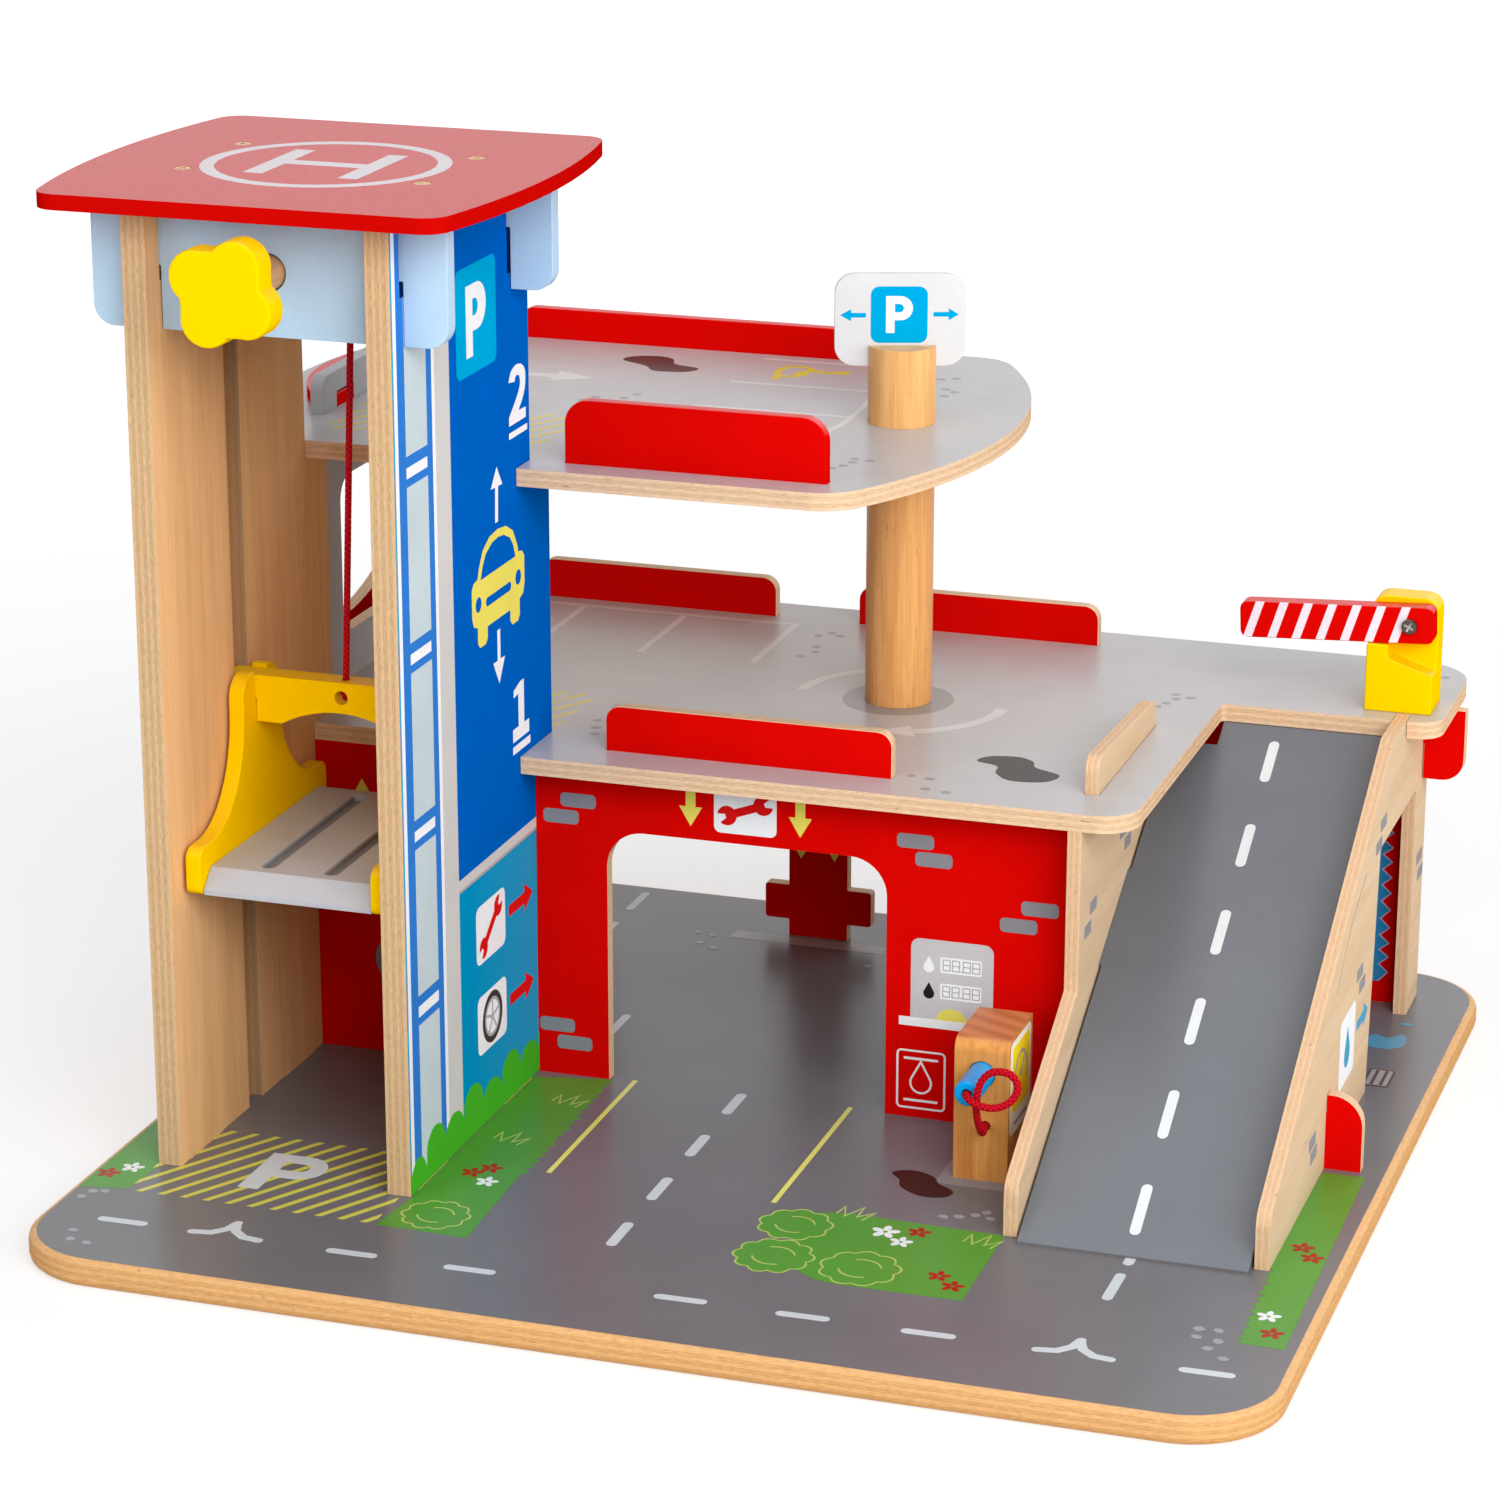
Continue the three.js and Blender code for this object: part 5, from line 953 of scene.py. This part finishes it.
def hatching(colour, layer, u0, v0, u1, v1, width):
    """Slanted stripes that end on the box's sides."""
    slope = tan(radians(BAY_ANGLE))
    lean = (v1 - v0) / slope
    half = width / sin(radians(BAY_ANGLE)) / 2

    def across(foot):
        low = (foot, v0) if foot >= u0 else (u0, v0 + (u0 - foot) * slope)
        high = (foot + lean, v1) if foot + lean <= u1 else (u1, v0 + (u1 - foot) * slope)
        return [low, high]

    stripes = []
    start = u0 - lean + BAY_PITCH * 0.6
    while start < u1 - 2:
        (low_a, high_a), (low_b, high_b) = across(start - half), across(start + half)
        stripes.append((colour, layer, [[low_a, low_b, high_b, high_a]]))
        start += BAY_PITCH
    return stripes


def ragged(points, side, teeth, depth, seed):
    """The outline with one side cut into uneven teeth."""
    draw = random.Random(seed)
    a, b = (Vector(points[(side + shift) % len(points)]) for shift in (0, 1))
    out = Vector(((b - a).y, -(b - a).x)).normalized()
    edge = [tuple(a.lerp(b, (number + share) / teeth) + out * depth * reach) for number in range(teeth)
            for share, reach in ((0.0, 0.0), (0.55, 0.7 + 0.6 * draw.random()))]
    return [points[:side] + edge + points[side + 1:]]


road = [("road_white", 2, stroke([(left + 1.8, -187.3), (left + 17.8, -187)], 3.9))
        for left in (-211.8, -120.4, -74.4, 5.9, 51.4, 97.4, 196.6)]
road += [("road_white", 2, stroke([(u - 13, -187.5), (u - 6, -186.2), (u - 1.6, -181.5), (u, -175.5)], 3.6),
          stroke([(u, -176.5), (u + 2.2, -182.5), (u + 7, -186.6), (u + 13.4, -187.5)], 3.6))
         for u in (-160.8, 159.2)]
road += [("road_white", 2, dash(-23.9, foot + 2, foot + 19.8, 4.2)) for foot in (-151.4, -107.3, -63.3, -18.8)]
road += [("road_white", 2, dash(159.2, middle - 10, middle + 10, 3.9)) for middle in (-128.5, -97)]
road += [("road_white", 2, dash(*line, 3.7))
         for line in ((-96.3, 45.1, 68.9), (-139.2, 163.9, 173.2), (-139.2, 193.2, 213.7))]
road += [("line_yellow", 2, bar(-69.9, -95, -67.9, 3), bar(19.7, -95.2, 21.7, 3))]
road += hatching("road_yellow", 2, -213, -160, -113.5, -95.2, 2.2)
road += [
    ("road_white", 3, placed(letter_p(26, 34, 8.2, 12.9, 19.3, 3.8), -175.2, -144.2)),
    ("grass", 1,
     ragged([(-232, -163), (-213.6, -160.2), (-211.2, -133.6), (-232, -95)], 0, 5, -1.5, 3),
     ragged([(-109, -6), (-109, -133.5), (-112.2, -160.5), (-76, -161.5), (-78.5, -100), (-79.2, 1)], 4, 18, 2.6, 5),
     ragged([(209.2, -3), (208.5, -95), (210.5, -160.5), (227.9, -161), (225.6, -2.5)], 1, 12, -2.4, 7),
     [bend([(111, -157), (82, -157.5), (56, -156), (42, -142), (36, -118), (38, -101), (52, -96.5), (80, -97),
            (110.4, -97.6)])]),
]
for u, v, size, lobes in ((34.5, -112, 14.5, 9), (35.5, -141, 15.5, 10), (68.5, -142, 15.5, 9),
                          (-94.5, -145.5, 13.5, 10)):
    bush, inner = (placed(shrub(lobes, reach), u, v, 1.0, 17 * lobes) for reach in (size, size - 0.9))
    road += [("grass", 1.5, bush), ("leaf_line", 2, bush + inner)]
    road += [("leaf_line", 2, stroke(arc(u, v, size * 0.5, turned, turned + 95, 8), 0.8)) for turned in (20, 200)]
FLOWERS = {
    "flower_red": ((-227, -147.5), (-96.5, -104), (-91, -98), (80, -104.6), (97.5, -139.5), (104.5, -146.5),
                   (216.5, -74), (221.5, -82), (221, -149.5)),
    "white": ((-220.5, -140), (-88, -110.5), (68, -108), (76, -115), (217, -136)),
}
road += [(colour, 3, *petals(u, v, 5.6 if (u, v) == (68, -108) else 4.6, 18))
         for colour, spots in FLOWERS.items() for u, v in spots]
BLADES = ((-6, 3), (-4.6, 9.5), (-2.4, 1.2), (2.4, 11), (2.2, 1.6), (7.6, 7), (5, -0.5))
road += [("leaf_line", 2, stroke([(u + a, v + b) for a, b in BLADES], 0.8))
         for u, v in ((-95, -73), (52, -100), (103.5, -110), (-87, -30))]
for u, v in ((-216.3, -200), (-213.4, -207.5), (-206.1, -209), (-226.7, -171), (-225, -165), (-220.5, -163.8),
             (195.8, -153.5), (202.9, -152.9), (196.5, -160.2), (204.5, -161.4), (202.3, -168.2), (209, -174.6),
             (84.4, -87.7), (90, -86.2), (95.2, -82.6), (98.6, -79.2), (101.5, -84.2), (-101.2, 174.4),
             (-93.9, 172.7), (-96, 161.9), (-88.2, 157.4), (-18.9, 156.7)):
    draw = random.Random(round(u * 7 + v))
    stone = [(2.1 * (0.75 + 0.5 * draw.random()) * cos(angle), 1.9 * sin(angle) * (0.7 + 0.5 * draw.random()))
             for angle in (0.2, 1.3, 2.4, 3.4, 4.6, 5.6)]
    road += [("pebble", 2, placed([stone], u, v))]
road += [
    ("oil", 2, soft_shape([(54.5, -53.5), (62, -49.6), (70.5, -53), (74.5, -59), (81.5, -64.5), (79.5, -70.6),
                           (70.5, -72), (61.5, -66), (59, -59.5)])),
    ("pad_grey", 1, [[(72.4, -58), (72.6, -32), (99.4, -30.5), (99.6, -58.4)]]),
    ("strip_pale", 1, [[(-86, 172.6), (-85.5, 181.5), (-17, 181.5), (-17.5, 172.2)]]),
    ("puddle", 2, soft_shape([(198.6, 134), (200.5, 146), (206.5, 143.5), (212.8, 148.5), (214.6, 137.5),
                              (208.5, 131.5)]),
     placed(soft_shape([(-2.5, 0), (0, 1.6), (2.7, 0), (0, -1.5)]), 211.4, 161)),
    ("strip_pale", 2, plate(206.4, 90, 216.9, 108.5, 1.2)),
    ("drain_brown", 3, plate(206.4, 90, 216.9, 108.5, 1.2, 0.9), bar(209.2, 91.5, 210.5, 107),
     bar(212.9, 91.5, 214.2, 107)),
]
lay_print("road_print", ROAD_TOP, LYING, road)

# %% [markdown]
# ## The decks
# Both decks are light grey, with parking bays along the back, a hatched patch where a car leaves the lift,
# and arrows that show the way round the post.

# %% Deck prints
def stones(*spots):
    made = []
    for u, v in spots:
        draw = random.Random(round(u * 5 + v * 3))
        ring = [(1.9 * (0.8 + 0.5 * draw.random()) * cos(angle), 1.71 * sin(angle))
                for angle in (0.3, 1.2, 2.2, 3.3, 4.4, 5.5)]
        made.append(("deck_pebble", 1, placed(soft_shape(ring, 3), u, v)))
    return made


deck_1 = [stripe for box in ((-201, 23, -120.5, 71), (-119.5, 23, -108.5, 71))
          for stripe in hatching("deck_yellow", 1, *box, 1.9)]
deck_1 += [
    ("deck_white", 1, bar(-207, 193.2, -62, 196.2)),
    ("deck_white", 1, *[bar(u, 135, u + 2.9, 193.2) for u in (-206.5, -160.5, -114.5, -64.9)]),
    ("disc_grey", 1, disc(8.5, 105, 22.5)),
    ("deck_white", 1, round_arrow(8.5, 105, 43.8, -1, -85, 5, 15, 19)),
    ("deck_white", 1, round_arrow(8.5, 105, 40.8, 181, 99, 5, 13, 16)),
    ("deck_oil", 1, soft_shape([(60.5, 36.5), (64, 43.5), (74.5, 46), (81.5, 42), (84.5, 35), (95.5, 28.5), (92, 19),
                                (79, 16.6), (71.5, 24), (69.5, 32.5)])),
    *stones((41.5, 10.5), (49.1, 9), (51.4, -3.4), (59.6, -5), (-96.9, 39.6), (-94.3, 30.5), (-92, 22.6),
            (-90.5, 37.5), (-45.2, 187.5), (-40.5, 184), (-49.5, 182), (-45.1, 165.5), (-43.5, 158), (-47.5, 150.5),
            (113.9, 146), (115.1, 140.4), (112.9, 133.6), (110.5, 127.8), (120.5, 143.4), (213.4, 204.2)),
]
lay_print("deck_1_print", DECK_1_TOP, LYING, deck_1)

CHAIR_WHEEL = [(-51, 178.3), (-55.9, 183.3), (-60.9, 183.4), (-64.4, 179.2), (-64.6, 171.9), (-62.6, 166.9),
               (-58.6, 164.9), (-54.6, 167.2), (-52.3, 172.1)]
deck_2 = hatching("deck_yellow", 1, -205, 23, -113, 72, 1.9) + [
    ("deck_white", 1, arrow((-186, 134.5), (-134, 137.6), 6, 17, 16)),
    ("deck_oil", 1, soft_shape([(-133, 173), (-131, 180.5), (-121, 184), (-113.5, 180.5), (-109.5, 172), (-98, 167.5),
                                (-101, 160), (-114, 158), (-120.5, 165.5)])),
    ("deck_white", 1, bar(-78, 192.6, -16, 195.2), bar(-78, 148.4, -15, 151), bar(-78, 103.7, -11, 106.3),
     stroke([(-14.5, 78), (-12.4, 92), (-11.8, 105), (-12.8, 125), (-15.2, 143), (-17.6, 158), (-20.5, 176),
             (-24, 194)], 2.7, False)),
    ("deck_yellow", 2, stroke(bend(CHAIR_WHEEL), 2.7), stroke([(-62.8, 166), (-62, 160)], 3.4),
     stroke(bend([(-55.5, 169), (-54.6, 174.4), (-50.5, 178), (-45.5, 176.6), (-38, 178.3)]), 3.2),
     disc(-38.2, 178.4, 3)),
    *stones((-120.8, 106), (-109.2, 107.7), (-106.5, 115.6), (-116.5, 101.8), (-124, 99.6), (8.8, 40.4), (9.8, 35),
            (7.6, 29.1), (4.6, 23.8), (15.3, 39.4), (3.7, 180.3), (9.3, 183.6), (10.1, 163.9), (14.8, 160),
            (12.3, 152)),
]
lay_print("deck_2_print", DECK_2_TOP, LYING, deck_2)

# %% [markdown]
# ## Roof, ramp and sign
# The roof has a helipad's ring and letter, the ramp a row of dashes that ends at its foot, and the sign on
# the dowel says where to park.

# %% Helipad, ramp and sign
helipad = [("helipad_white", 1, disc(-161.3, -66.6, 46.2, 40.8), placed(letter_h(44.8, 48.6, 7.6), -183.6, -91))]
lay_print("helipad_print", ROOF_TOP, LYING, helipad)

RAMP_SLOPE, RAMP_FOOT = 0.5311, -103
stretch = hypot(1, RAMP_SLOPE)
dashes = [("ramp_white", 1, dash(158.1, (front + 0.7 - RAMP_FOOT) * stretch, (back - 3.3 - RAMP_FOOT) * stretch, 4.1))
          for front, back in ((-93.2, -71.6), (-52.4, -31), (-11.2, 10.2), (29.8, 51), (71.2, 92.2), (112.6, 133.2))]
ramp_up = Vector((0, 1, RAMP_SLOPE)).normalized()
lay_print("ramp_print", (0, RAMP_FOOT, 11.5), ((1, 0, 0), ramp_up), dashes)

SIGN_TURN, SIGN_HALF = radians(18.2), 1.75
along_sign = Vector((cos(SIGN_TURN), sin(SIGN_TURN), 0))
off_sign = Vector((sin(SIGN_TURN), -cos(SIGN_TURN), 0))
sign = [
    ("cyan", 1, plate(-12.6, 294.6, 9.8, 317.2, 3.4)),
    ("white", 2, placed(letter_p(10.6, 14.8, 3.4, 5.1, 7, 1.65), -6.6, 298.6)),
    ("cyan", 1, arrow((-14.5, 305.7), (-24.7, 305.7), 1.8, 4.8, 4.4), arrow((12.1, 306.1), (22, 306.1), 1.8, 4.8, 3.9)),
]
for name, way in (("sign_print", 1), ("sign_back_print", -1)):
    middle = Vector((8.5, 105, 0)) + off_sign * SIGN_HALF * way
    lay_print(name, middle, (along_sign * way, (0, 0, 1)), sign)
print("sign turned by", round(degrees(SIGN_TURN), 1), "degrees")

# %% [markdown]
# ## The tower's printed side
# The lift shaft is drawn as a glass front with blue frames. Beside it, signs on a dark blue field point to
# the decks, and lower down to the workshop and the wheels, above a hedge.

# %% Tower print
SHAFT_BARS = ((292.4, 281.0), (223.0, 211.6), (155.2, 143.8), (86.6, 75.0))
PANES = zip([350.5] + [low for _, low in SHAFT_BARS], [high for high, _ in SHAFT_BARS] + [14])
BOARD_SLOT = [(-114.7, 379), (-114.7, 350.5), (-124.8, 350.5), (-124.8, 379)]
CAR_MIDDLE = -34.2
CAR_SIDE = [(0, 243.7), (8.5, 242.8), (15.6, 239.2), (19.8, 233), (21.2, 229.4), (25.2, 228.8), (27.3, 226.4),
            (27.3, 215.5), (25.6, 211.8), (21.8, 210.6), (21.8, 204.3), (19.8, 202.3), (13.9, 202.3), (11.9, 204.3),
            (11.9, 208.7)]
WINDSCREEN_SIDE = [(0, 240.5), (6, 239.9), (12.6, 237.2), (16.2, 233), (18.2, 228.3)]


def mirrored(side):
    """The whole outline of a shape whose right half is given."""
    return [(CAR_MIDDLE + u, v) for u, v in side] + [(CAR_MIDDLE - u, v) for u, v in side[::-1] if u]


tower = [
    ("sky", 1, bar(-133.1, 11, 20.8, 115.8)),
    ("navy", 1, [[(-133.1, 115.8), (20.8, 115.8), (20.8, 254.9), (0.7, 254.9), (0.7, 379), (-10.1, 379),
                  (-10.1, 338.5), (-20.2, 338.5), (-20.2, 379), *BOARD_SLOT, (-133.1, 379)]]),
    ("strip_grey", 2, bar(-80, 113.6, 20.8, 117.6), bar(-94.2, 12, -79.9, 379)),
    ("strip_dark", 2.5, bar(-80, 112.4, 20.8, 113.6)),
    ("teal", 2, bar(-133.1, 11, -129.3, 379)),
    ("white", 2.5, bar(-132.0, 11, -129.0, 379), bar(-96.9, 12, -94.2, 379)),
    ("frame_blue", 2, [[(-129, 12), (-96.9, 12), (-96.9, 379), *BOARD_SLOT, (-129, 379)]]),
    *[("glass", 3, bar(-122, low, -102, high)) for high, low in PANES],
    ("glass", 3.25, bar(-114.7, 350, -102, 377)),
    *[("white", 3, bar(-122, low + 3.2, -102.3, high - 4.2)) for high, low in SHAFT_BARS],
    ("teal", 2, plate(-72.5, 308.6, -32.4, 349.5, 3.5)),
    ("white", 3, placed(letter_p(20, 27, 6.5, 9.3, 12, 3.2), -62.5, 315.2)),
    ("white", 2, placed(DIGIT_TWO, -20.4, 280.1), bar(-20.7, 275, -1.7, 277.4), placed(DIGIT_ONE, -21.4, 154.8),
     bar(-21.6, 149.9, -3.1, 153), arrow((-35.1, 246.5), (-34.2, 267.9), 2.9, 11.8, 7.7),
     arrow((-34.8, 204.3), (-34.8, 182.9), 2.9, 12, 9.4)),
    ("yellow", 2, [mirrored(CAR_SIDE), mirrored(WINDSCREEN_SIDE),
                   *[disc(CAR_MIDDLE + u, 219.4, 3.0)[0] for u in (-20.7, 20.7)],
                   plate(-47.3, 216.4, -21.1, 219.9, 1.6)[0]]),
    *[("white", 2, plate(-63.3, low, -33, high, 3.4)) for low, high in ((77, 100.6), (40, 63.8))],
    *[("red", 2, arrow((-29, v), (-3.2, v), 4.6, 11.5, 9)) for v in (88.4, 51.5)],
    ("red", 3, placed(spanner(25, 3.4), -48.2, 88.8, 1.0, 38)),
    ("tyre", 3, disc(-48.1, 51.9, 10.4, 7.9)),
    ("rim_grey", 3, disc(-48.1, 51.9, 7.9, 6.6), disc(-48.1, 51.9, 1.5)),
    ("rim_grey", 4, *[placed(bar(1.2, -0.6, 6.9, 0.6), -48.1, 51.9, 1.0, 72 * spoke + 18) for spoke in range(5)]),
]
hedge = [(20.8, 11), (20.8, 24)]
for centre, peak, half in ((10.5, 31.5, 10.3), (-9.5, 27, 10.2), (-29.5, 30.5, 10), (-49.5, 26.5, 10.2),
                           (-69.5, 31.5, 10), (-89, 27.5, 9.8), (-108, 30, 9.6), (-125.3, 23.5, 7.6)):
    angles = [radians(angle) for angle in range(8, 173, 15)]
    hedge += [(centre + half * cos(angle), peak - 9 + 9 * sin(angle)) for angle in angles]
tower += [("hedge", 5, [hedge + [(-133.1, 20), (-133.1, 11)]])]
lay_print("tower_print", TOWER_SIDE, FACING_RIGHT, tower)

# %% [markdown]
# ## The walls
# The red walls carry a few grey bricks, two arrows over the arch with a workshop sign between them, and the
# face of a fuel pump with its display. The column at the back has arrows too, and a washing brush in blue
# stands at the right behind the ramp.

# %% Wall prints
bricks = [("brick", 1, plate(u - 7.4, v - 2.9, u + 7.4, v + 2.9, 1.8))
          for u, v in ((-91.4, 126.1), (-98.6, 119), (46.2, 124.1), (53.6, 117.2), (95.9, 101.8), (87.6, 94.3),
                       (-101.2, 31.2), (-93.9, 24.1))]
display = []
for v in (72.2, 61.4):
    digits = [placed(eight(3.2, 4.7, 0.42), u, v + 0.5) for u in (57.7, 61.45, 65.8, 69.55)]
    display += [("white", 2, plate(56.8, v - 0.4, 73.3, v + 6, 0.6)), *[("strip_dark", 3, digit) for digit in digits],
                ("strip_dark", 3, bar(65.1, v + 0.5, 65.7, v + 1.1))]
wall_print = bricks + [("yellow", 1, arrow((u, 138.6), (u, 120.6), 4, 9.4, 8)) for u in (-44.8, -0.1)] + [
    ("white", 1, plate(-35.2, 119.3, -9.7, 139.6, 2.6)),
    ("red", 2, placed(spanner(20.5, 3.2), -22.5, 129.2, 1.0, 20)),
    ("panel_grey", 1, [[(45, 49.6), (78, 49.6), (78, 81)] + arc(74.4, 81.4, 3.6, 0, 90, 5)
                       + arc(48.6, 81.4, 3.6, 90, 180, 5)]),
    *display,
    ("white", 2, drop(2.2, 52.2, 73.6)),
    ("black", 2, drop(2.2, 52.3, 62.8)),
    ("yellow", 2, [arc(61.5, 50.6, 6.6, 0, 180, 14)]),
    ("white", 3, bar(40.4, 48.6, 73, 52.2)),
    ("white", 1, plate(39.6, 14, 59.5, 38.6, 2.0, 0.8)),
    ("white", 1, drop(4.6, 49.5, 25) + drop(3.8, 49.5, 25)),
    ("white", 1, stroke([(43, 35), (56, 35)], 1.0), stroke([(43, 17.6), (56, 17.6)], 1.0)),
    ("yellow", 1, arrow((-183, 112), (-183, 125.9), 4, 9.4, 8)),
    ("brick", 1, disc(-168.5, 50.5, 10.5, 7.5)),
]
lay_print("front_wall_print", FRONT_WALL, FACING_FRONT, wall_print)

BRISTLES = (24.1, 30.8, 36.9, 43.7, 51.5, 58.9, 65.7, 72.5, 78.7, 85.3, 92, 98)
brush = [(185, 19.9), (194.3, 19.9)]
for tip, above in zip(BRISTLES, BRISTLES[1:]):
    brush += [(198.3, tip), (194.4, (tip + above) / 2)]
brush += [(185, 95)]
back = [("yellow", 1, arrow((u, 62), (u, 46.2), 3.8, 9.2, 8)) for u in (-57, -42)]
back += [("lilac", 1, [[(u + 0.8 * (u > 190), v) for u, v in brush]]), ("brush_blue", 2, [brush])]
lay_print("back_wall_print", BACK_WALL, FACING_FRONT, back)

# %% Ramp panels, pump and barrier
def brick_pairs(long, *spots):
    return [("ramp_brick", 1, plate(u - long / 2, v - 2.6, u + long / 2, v + 2.6, 0.9)) for u, v in spots]


lay_print("ramp_left_print", RAMP_LEFT, FACING_RIGHT,
          brick_pairs(10.4, (7, 104.3), (-1.2, 97.1), (53, 119.5), (61, 112.6)))
lay_print("ramp_right_print", RAMP_RIGHT, FACING_RIGHT, [
    *brick_pairs(12.4, (98.6, 118), (90.4, 111), (186.2, 75.4), (189.8, 67.4), (60.5, 68.8), (66.3, 62.2),
                 (-24.3, 31.5), (-21.3, 25.3)),
    ("white", 1, plate(24.5, 32, 54.2, 60.4, 3.2)),
    ("puddle", 2, drop(5.4, 39.2, 43)),
    ("puddle", 1, arrow((58.6, 47), (80.5, 47), 4.2, 10.5, 8.5)),
    ("pencil", 1, stroke(bend([(65.4, 107.6), (38.7, 95.9), (13.4, 76.9)]), 0.5)),
])
lay_print("pump_label", PUMP_SIDE, FACING_RIGHT, [
    ("white", 1, plate(-48.6, 28, -19.4, 65.4, 3)),
    ("bright_yellow", 2, plate(-46, 36.5, -22, 63, 2)),
    ("strip_dark", 3, [arc(-34, 49.5, 9.2, -30, 210, 20) + arc(-34, 49.5, 7.8, 210, -30, 20)]),
    ("strip_dark", 4, stroke([(-34, 49.5), (-29.5, 54.5)], 1.2), disc(-34, 49.5, 1.5)),
    ("strip_dark", 2, bar(-43, 31, -25, 32.4)),
])
stripes = []
for u, v in ((139.6 + 9.83 * number, 173.4 + 0.48 * number) for number in range(7)):
    stripes += [("arm_white", 1, [[(u, v - 0.2), (u + 3.5, v - 0.1), (u + 8.2, v + 14.9), (u + 4.7, v + 14.8)]])]
lay_print("barrier_stripes", BARRIER_ARM, FACING_FRONT, stripes, "arm")

# %% [markdown]
# ## Studio
# The floor is pale and plain, and the light soft. Five large lamps stand for a light tent, at a level where
# paint shows its own colour. The three at the front leave no glare on the paint, as they stay out of its
# mirror. The floor gives the camera and the reflections a near-white, and keeps the shadow of the base. Its
# glow is weaker near the toy, which paints shade on the floor round it.

# %% Floor, world and lamps
WHITE = (1, 1, 1, 1)
SQUARE = [(-6, -6, 0), (6, -6, 0), (6, 6, 0), (-6, 6, 0)]


def seen_ray(network):
    """1 for the rays of the camera, of a mirror and through glass."""
    ray = network.add("LightPath")
    mirrored_ray = network.maths("MAXIMUM", ray["Is Camera Ray"], ray["Is Glossy Ray"])
    return network.maths("MAXIMUM", mirrored_ray, ray["Is Transmission Ray"])


ground = Network(bpy.data.materials.new("pale_floor"), cleared=True)
matt, shown_matt = (ground.add("BsdfDiffuse", Color=(grey, grey, grey, 1))[0] for grey in (0.8, 0.42))
far = ground.add("VectorMath", {"operation": "LENGTH"}, _0=ground.place)["Value"]
# The glow grows from 0.60 near the toy to 0.95 far off: painted shade on the floor round the toy.
glow_dimmed_near_toy = ground.add("Emission", Color=WHITE, Strength=ground.spread(far, 0.45, 2.2, 0.60, 0.95))[0]
shown = ground.add("AddShader", _0=shown_matt, _1=glow_dimmed_near_toy)[0]
ground.add("OutputMaterial", Surface=ground.add("MixShader", _0=seen_ray(ground), _1=matt, _2=shown)[0])
make_mesh("studio_floor", SQUARE, [(0, 1, 2, 3)], [ground])

tent = Network(bpy.data.worlds.new("light_tent"), cleared=True)
bpy.context.scene.world = tent.owner
light, white = (tent.add("Background", Color=colour, Strength=strength)[0]
                for colour, strength in (((0.95, 0.97, 1.0, 1), 0.28), (WHITE, 1.0)))
tent.add("OutputWorld", Surface=tent.add("MixShader", _0=seen_ray(tent), _1=light, _2=white)[0])

MIDDLE_OF_TOY = Vector((0, 0, 0.15))
lamps = (
    ("key_lamp", (1.3, -2.0, 1.5), 1.6, 50, False),
    ("side_lamp", (2.2, -0.9, 0.9), 1.6, 24, False),
    ("fill_lamp", (-1.6, -2.0, 1.2), 1.6, 16, False),
    ("top_lamp", (0, -0.2, 2.4), 1.8, 11, True),
    ("back_lamp", (0.5, 1.8, 1.6), 1.4, 9, True),
)
for name, place, size, power, in_mirrors in lamps:
    lamp = bpy.data.lights.new(name, "AREA")
    lamp.shape, lamp.size, lamp.energy = "SQUARE", size, power
    holder = bpy.data.objects.new(name, lamp)
    holder.location = place
    holder.rotation_euler = (MIDDLE_OF_TOY - Vector(place)).to_track_quat("-Z", "Y").to_euler()
    holder.visible_glossy = in_mirrors
    bpy.context.scene.collection.objects.link(holder)
bpy.context.scene.view_settings.view_transform = "Standard"
print("studio is lit by", len(lamps), "lamps")
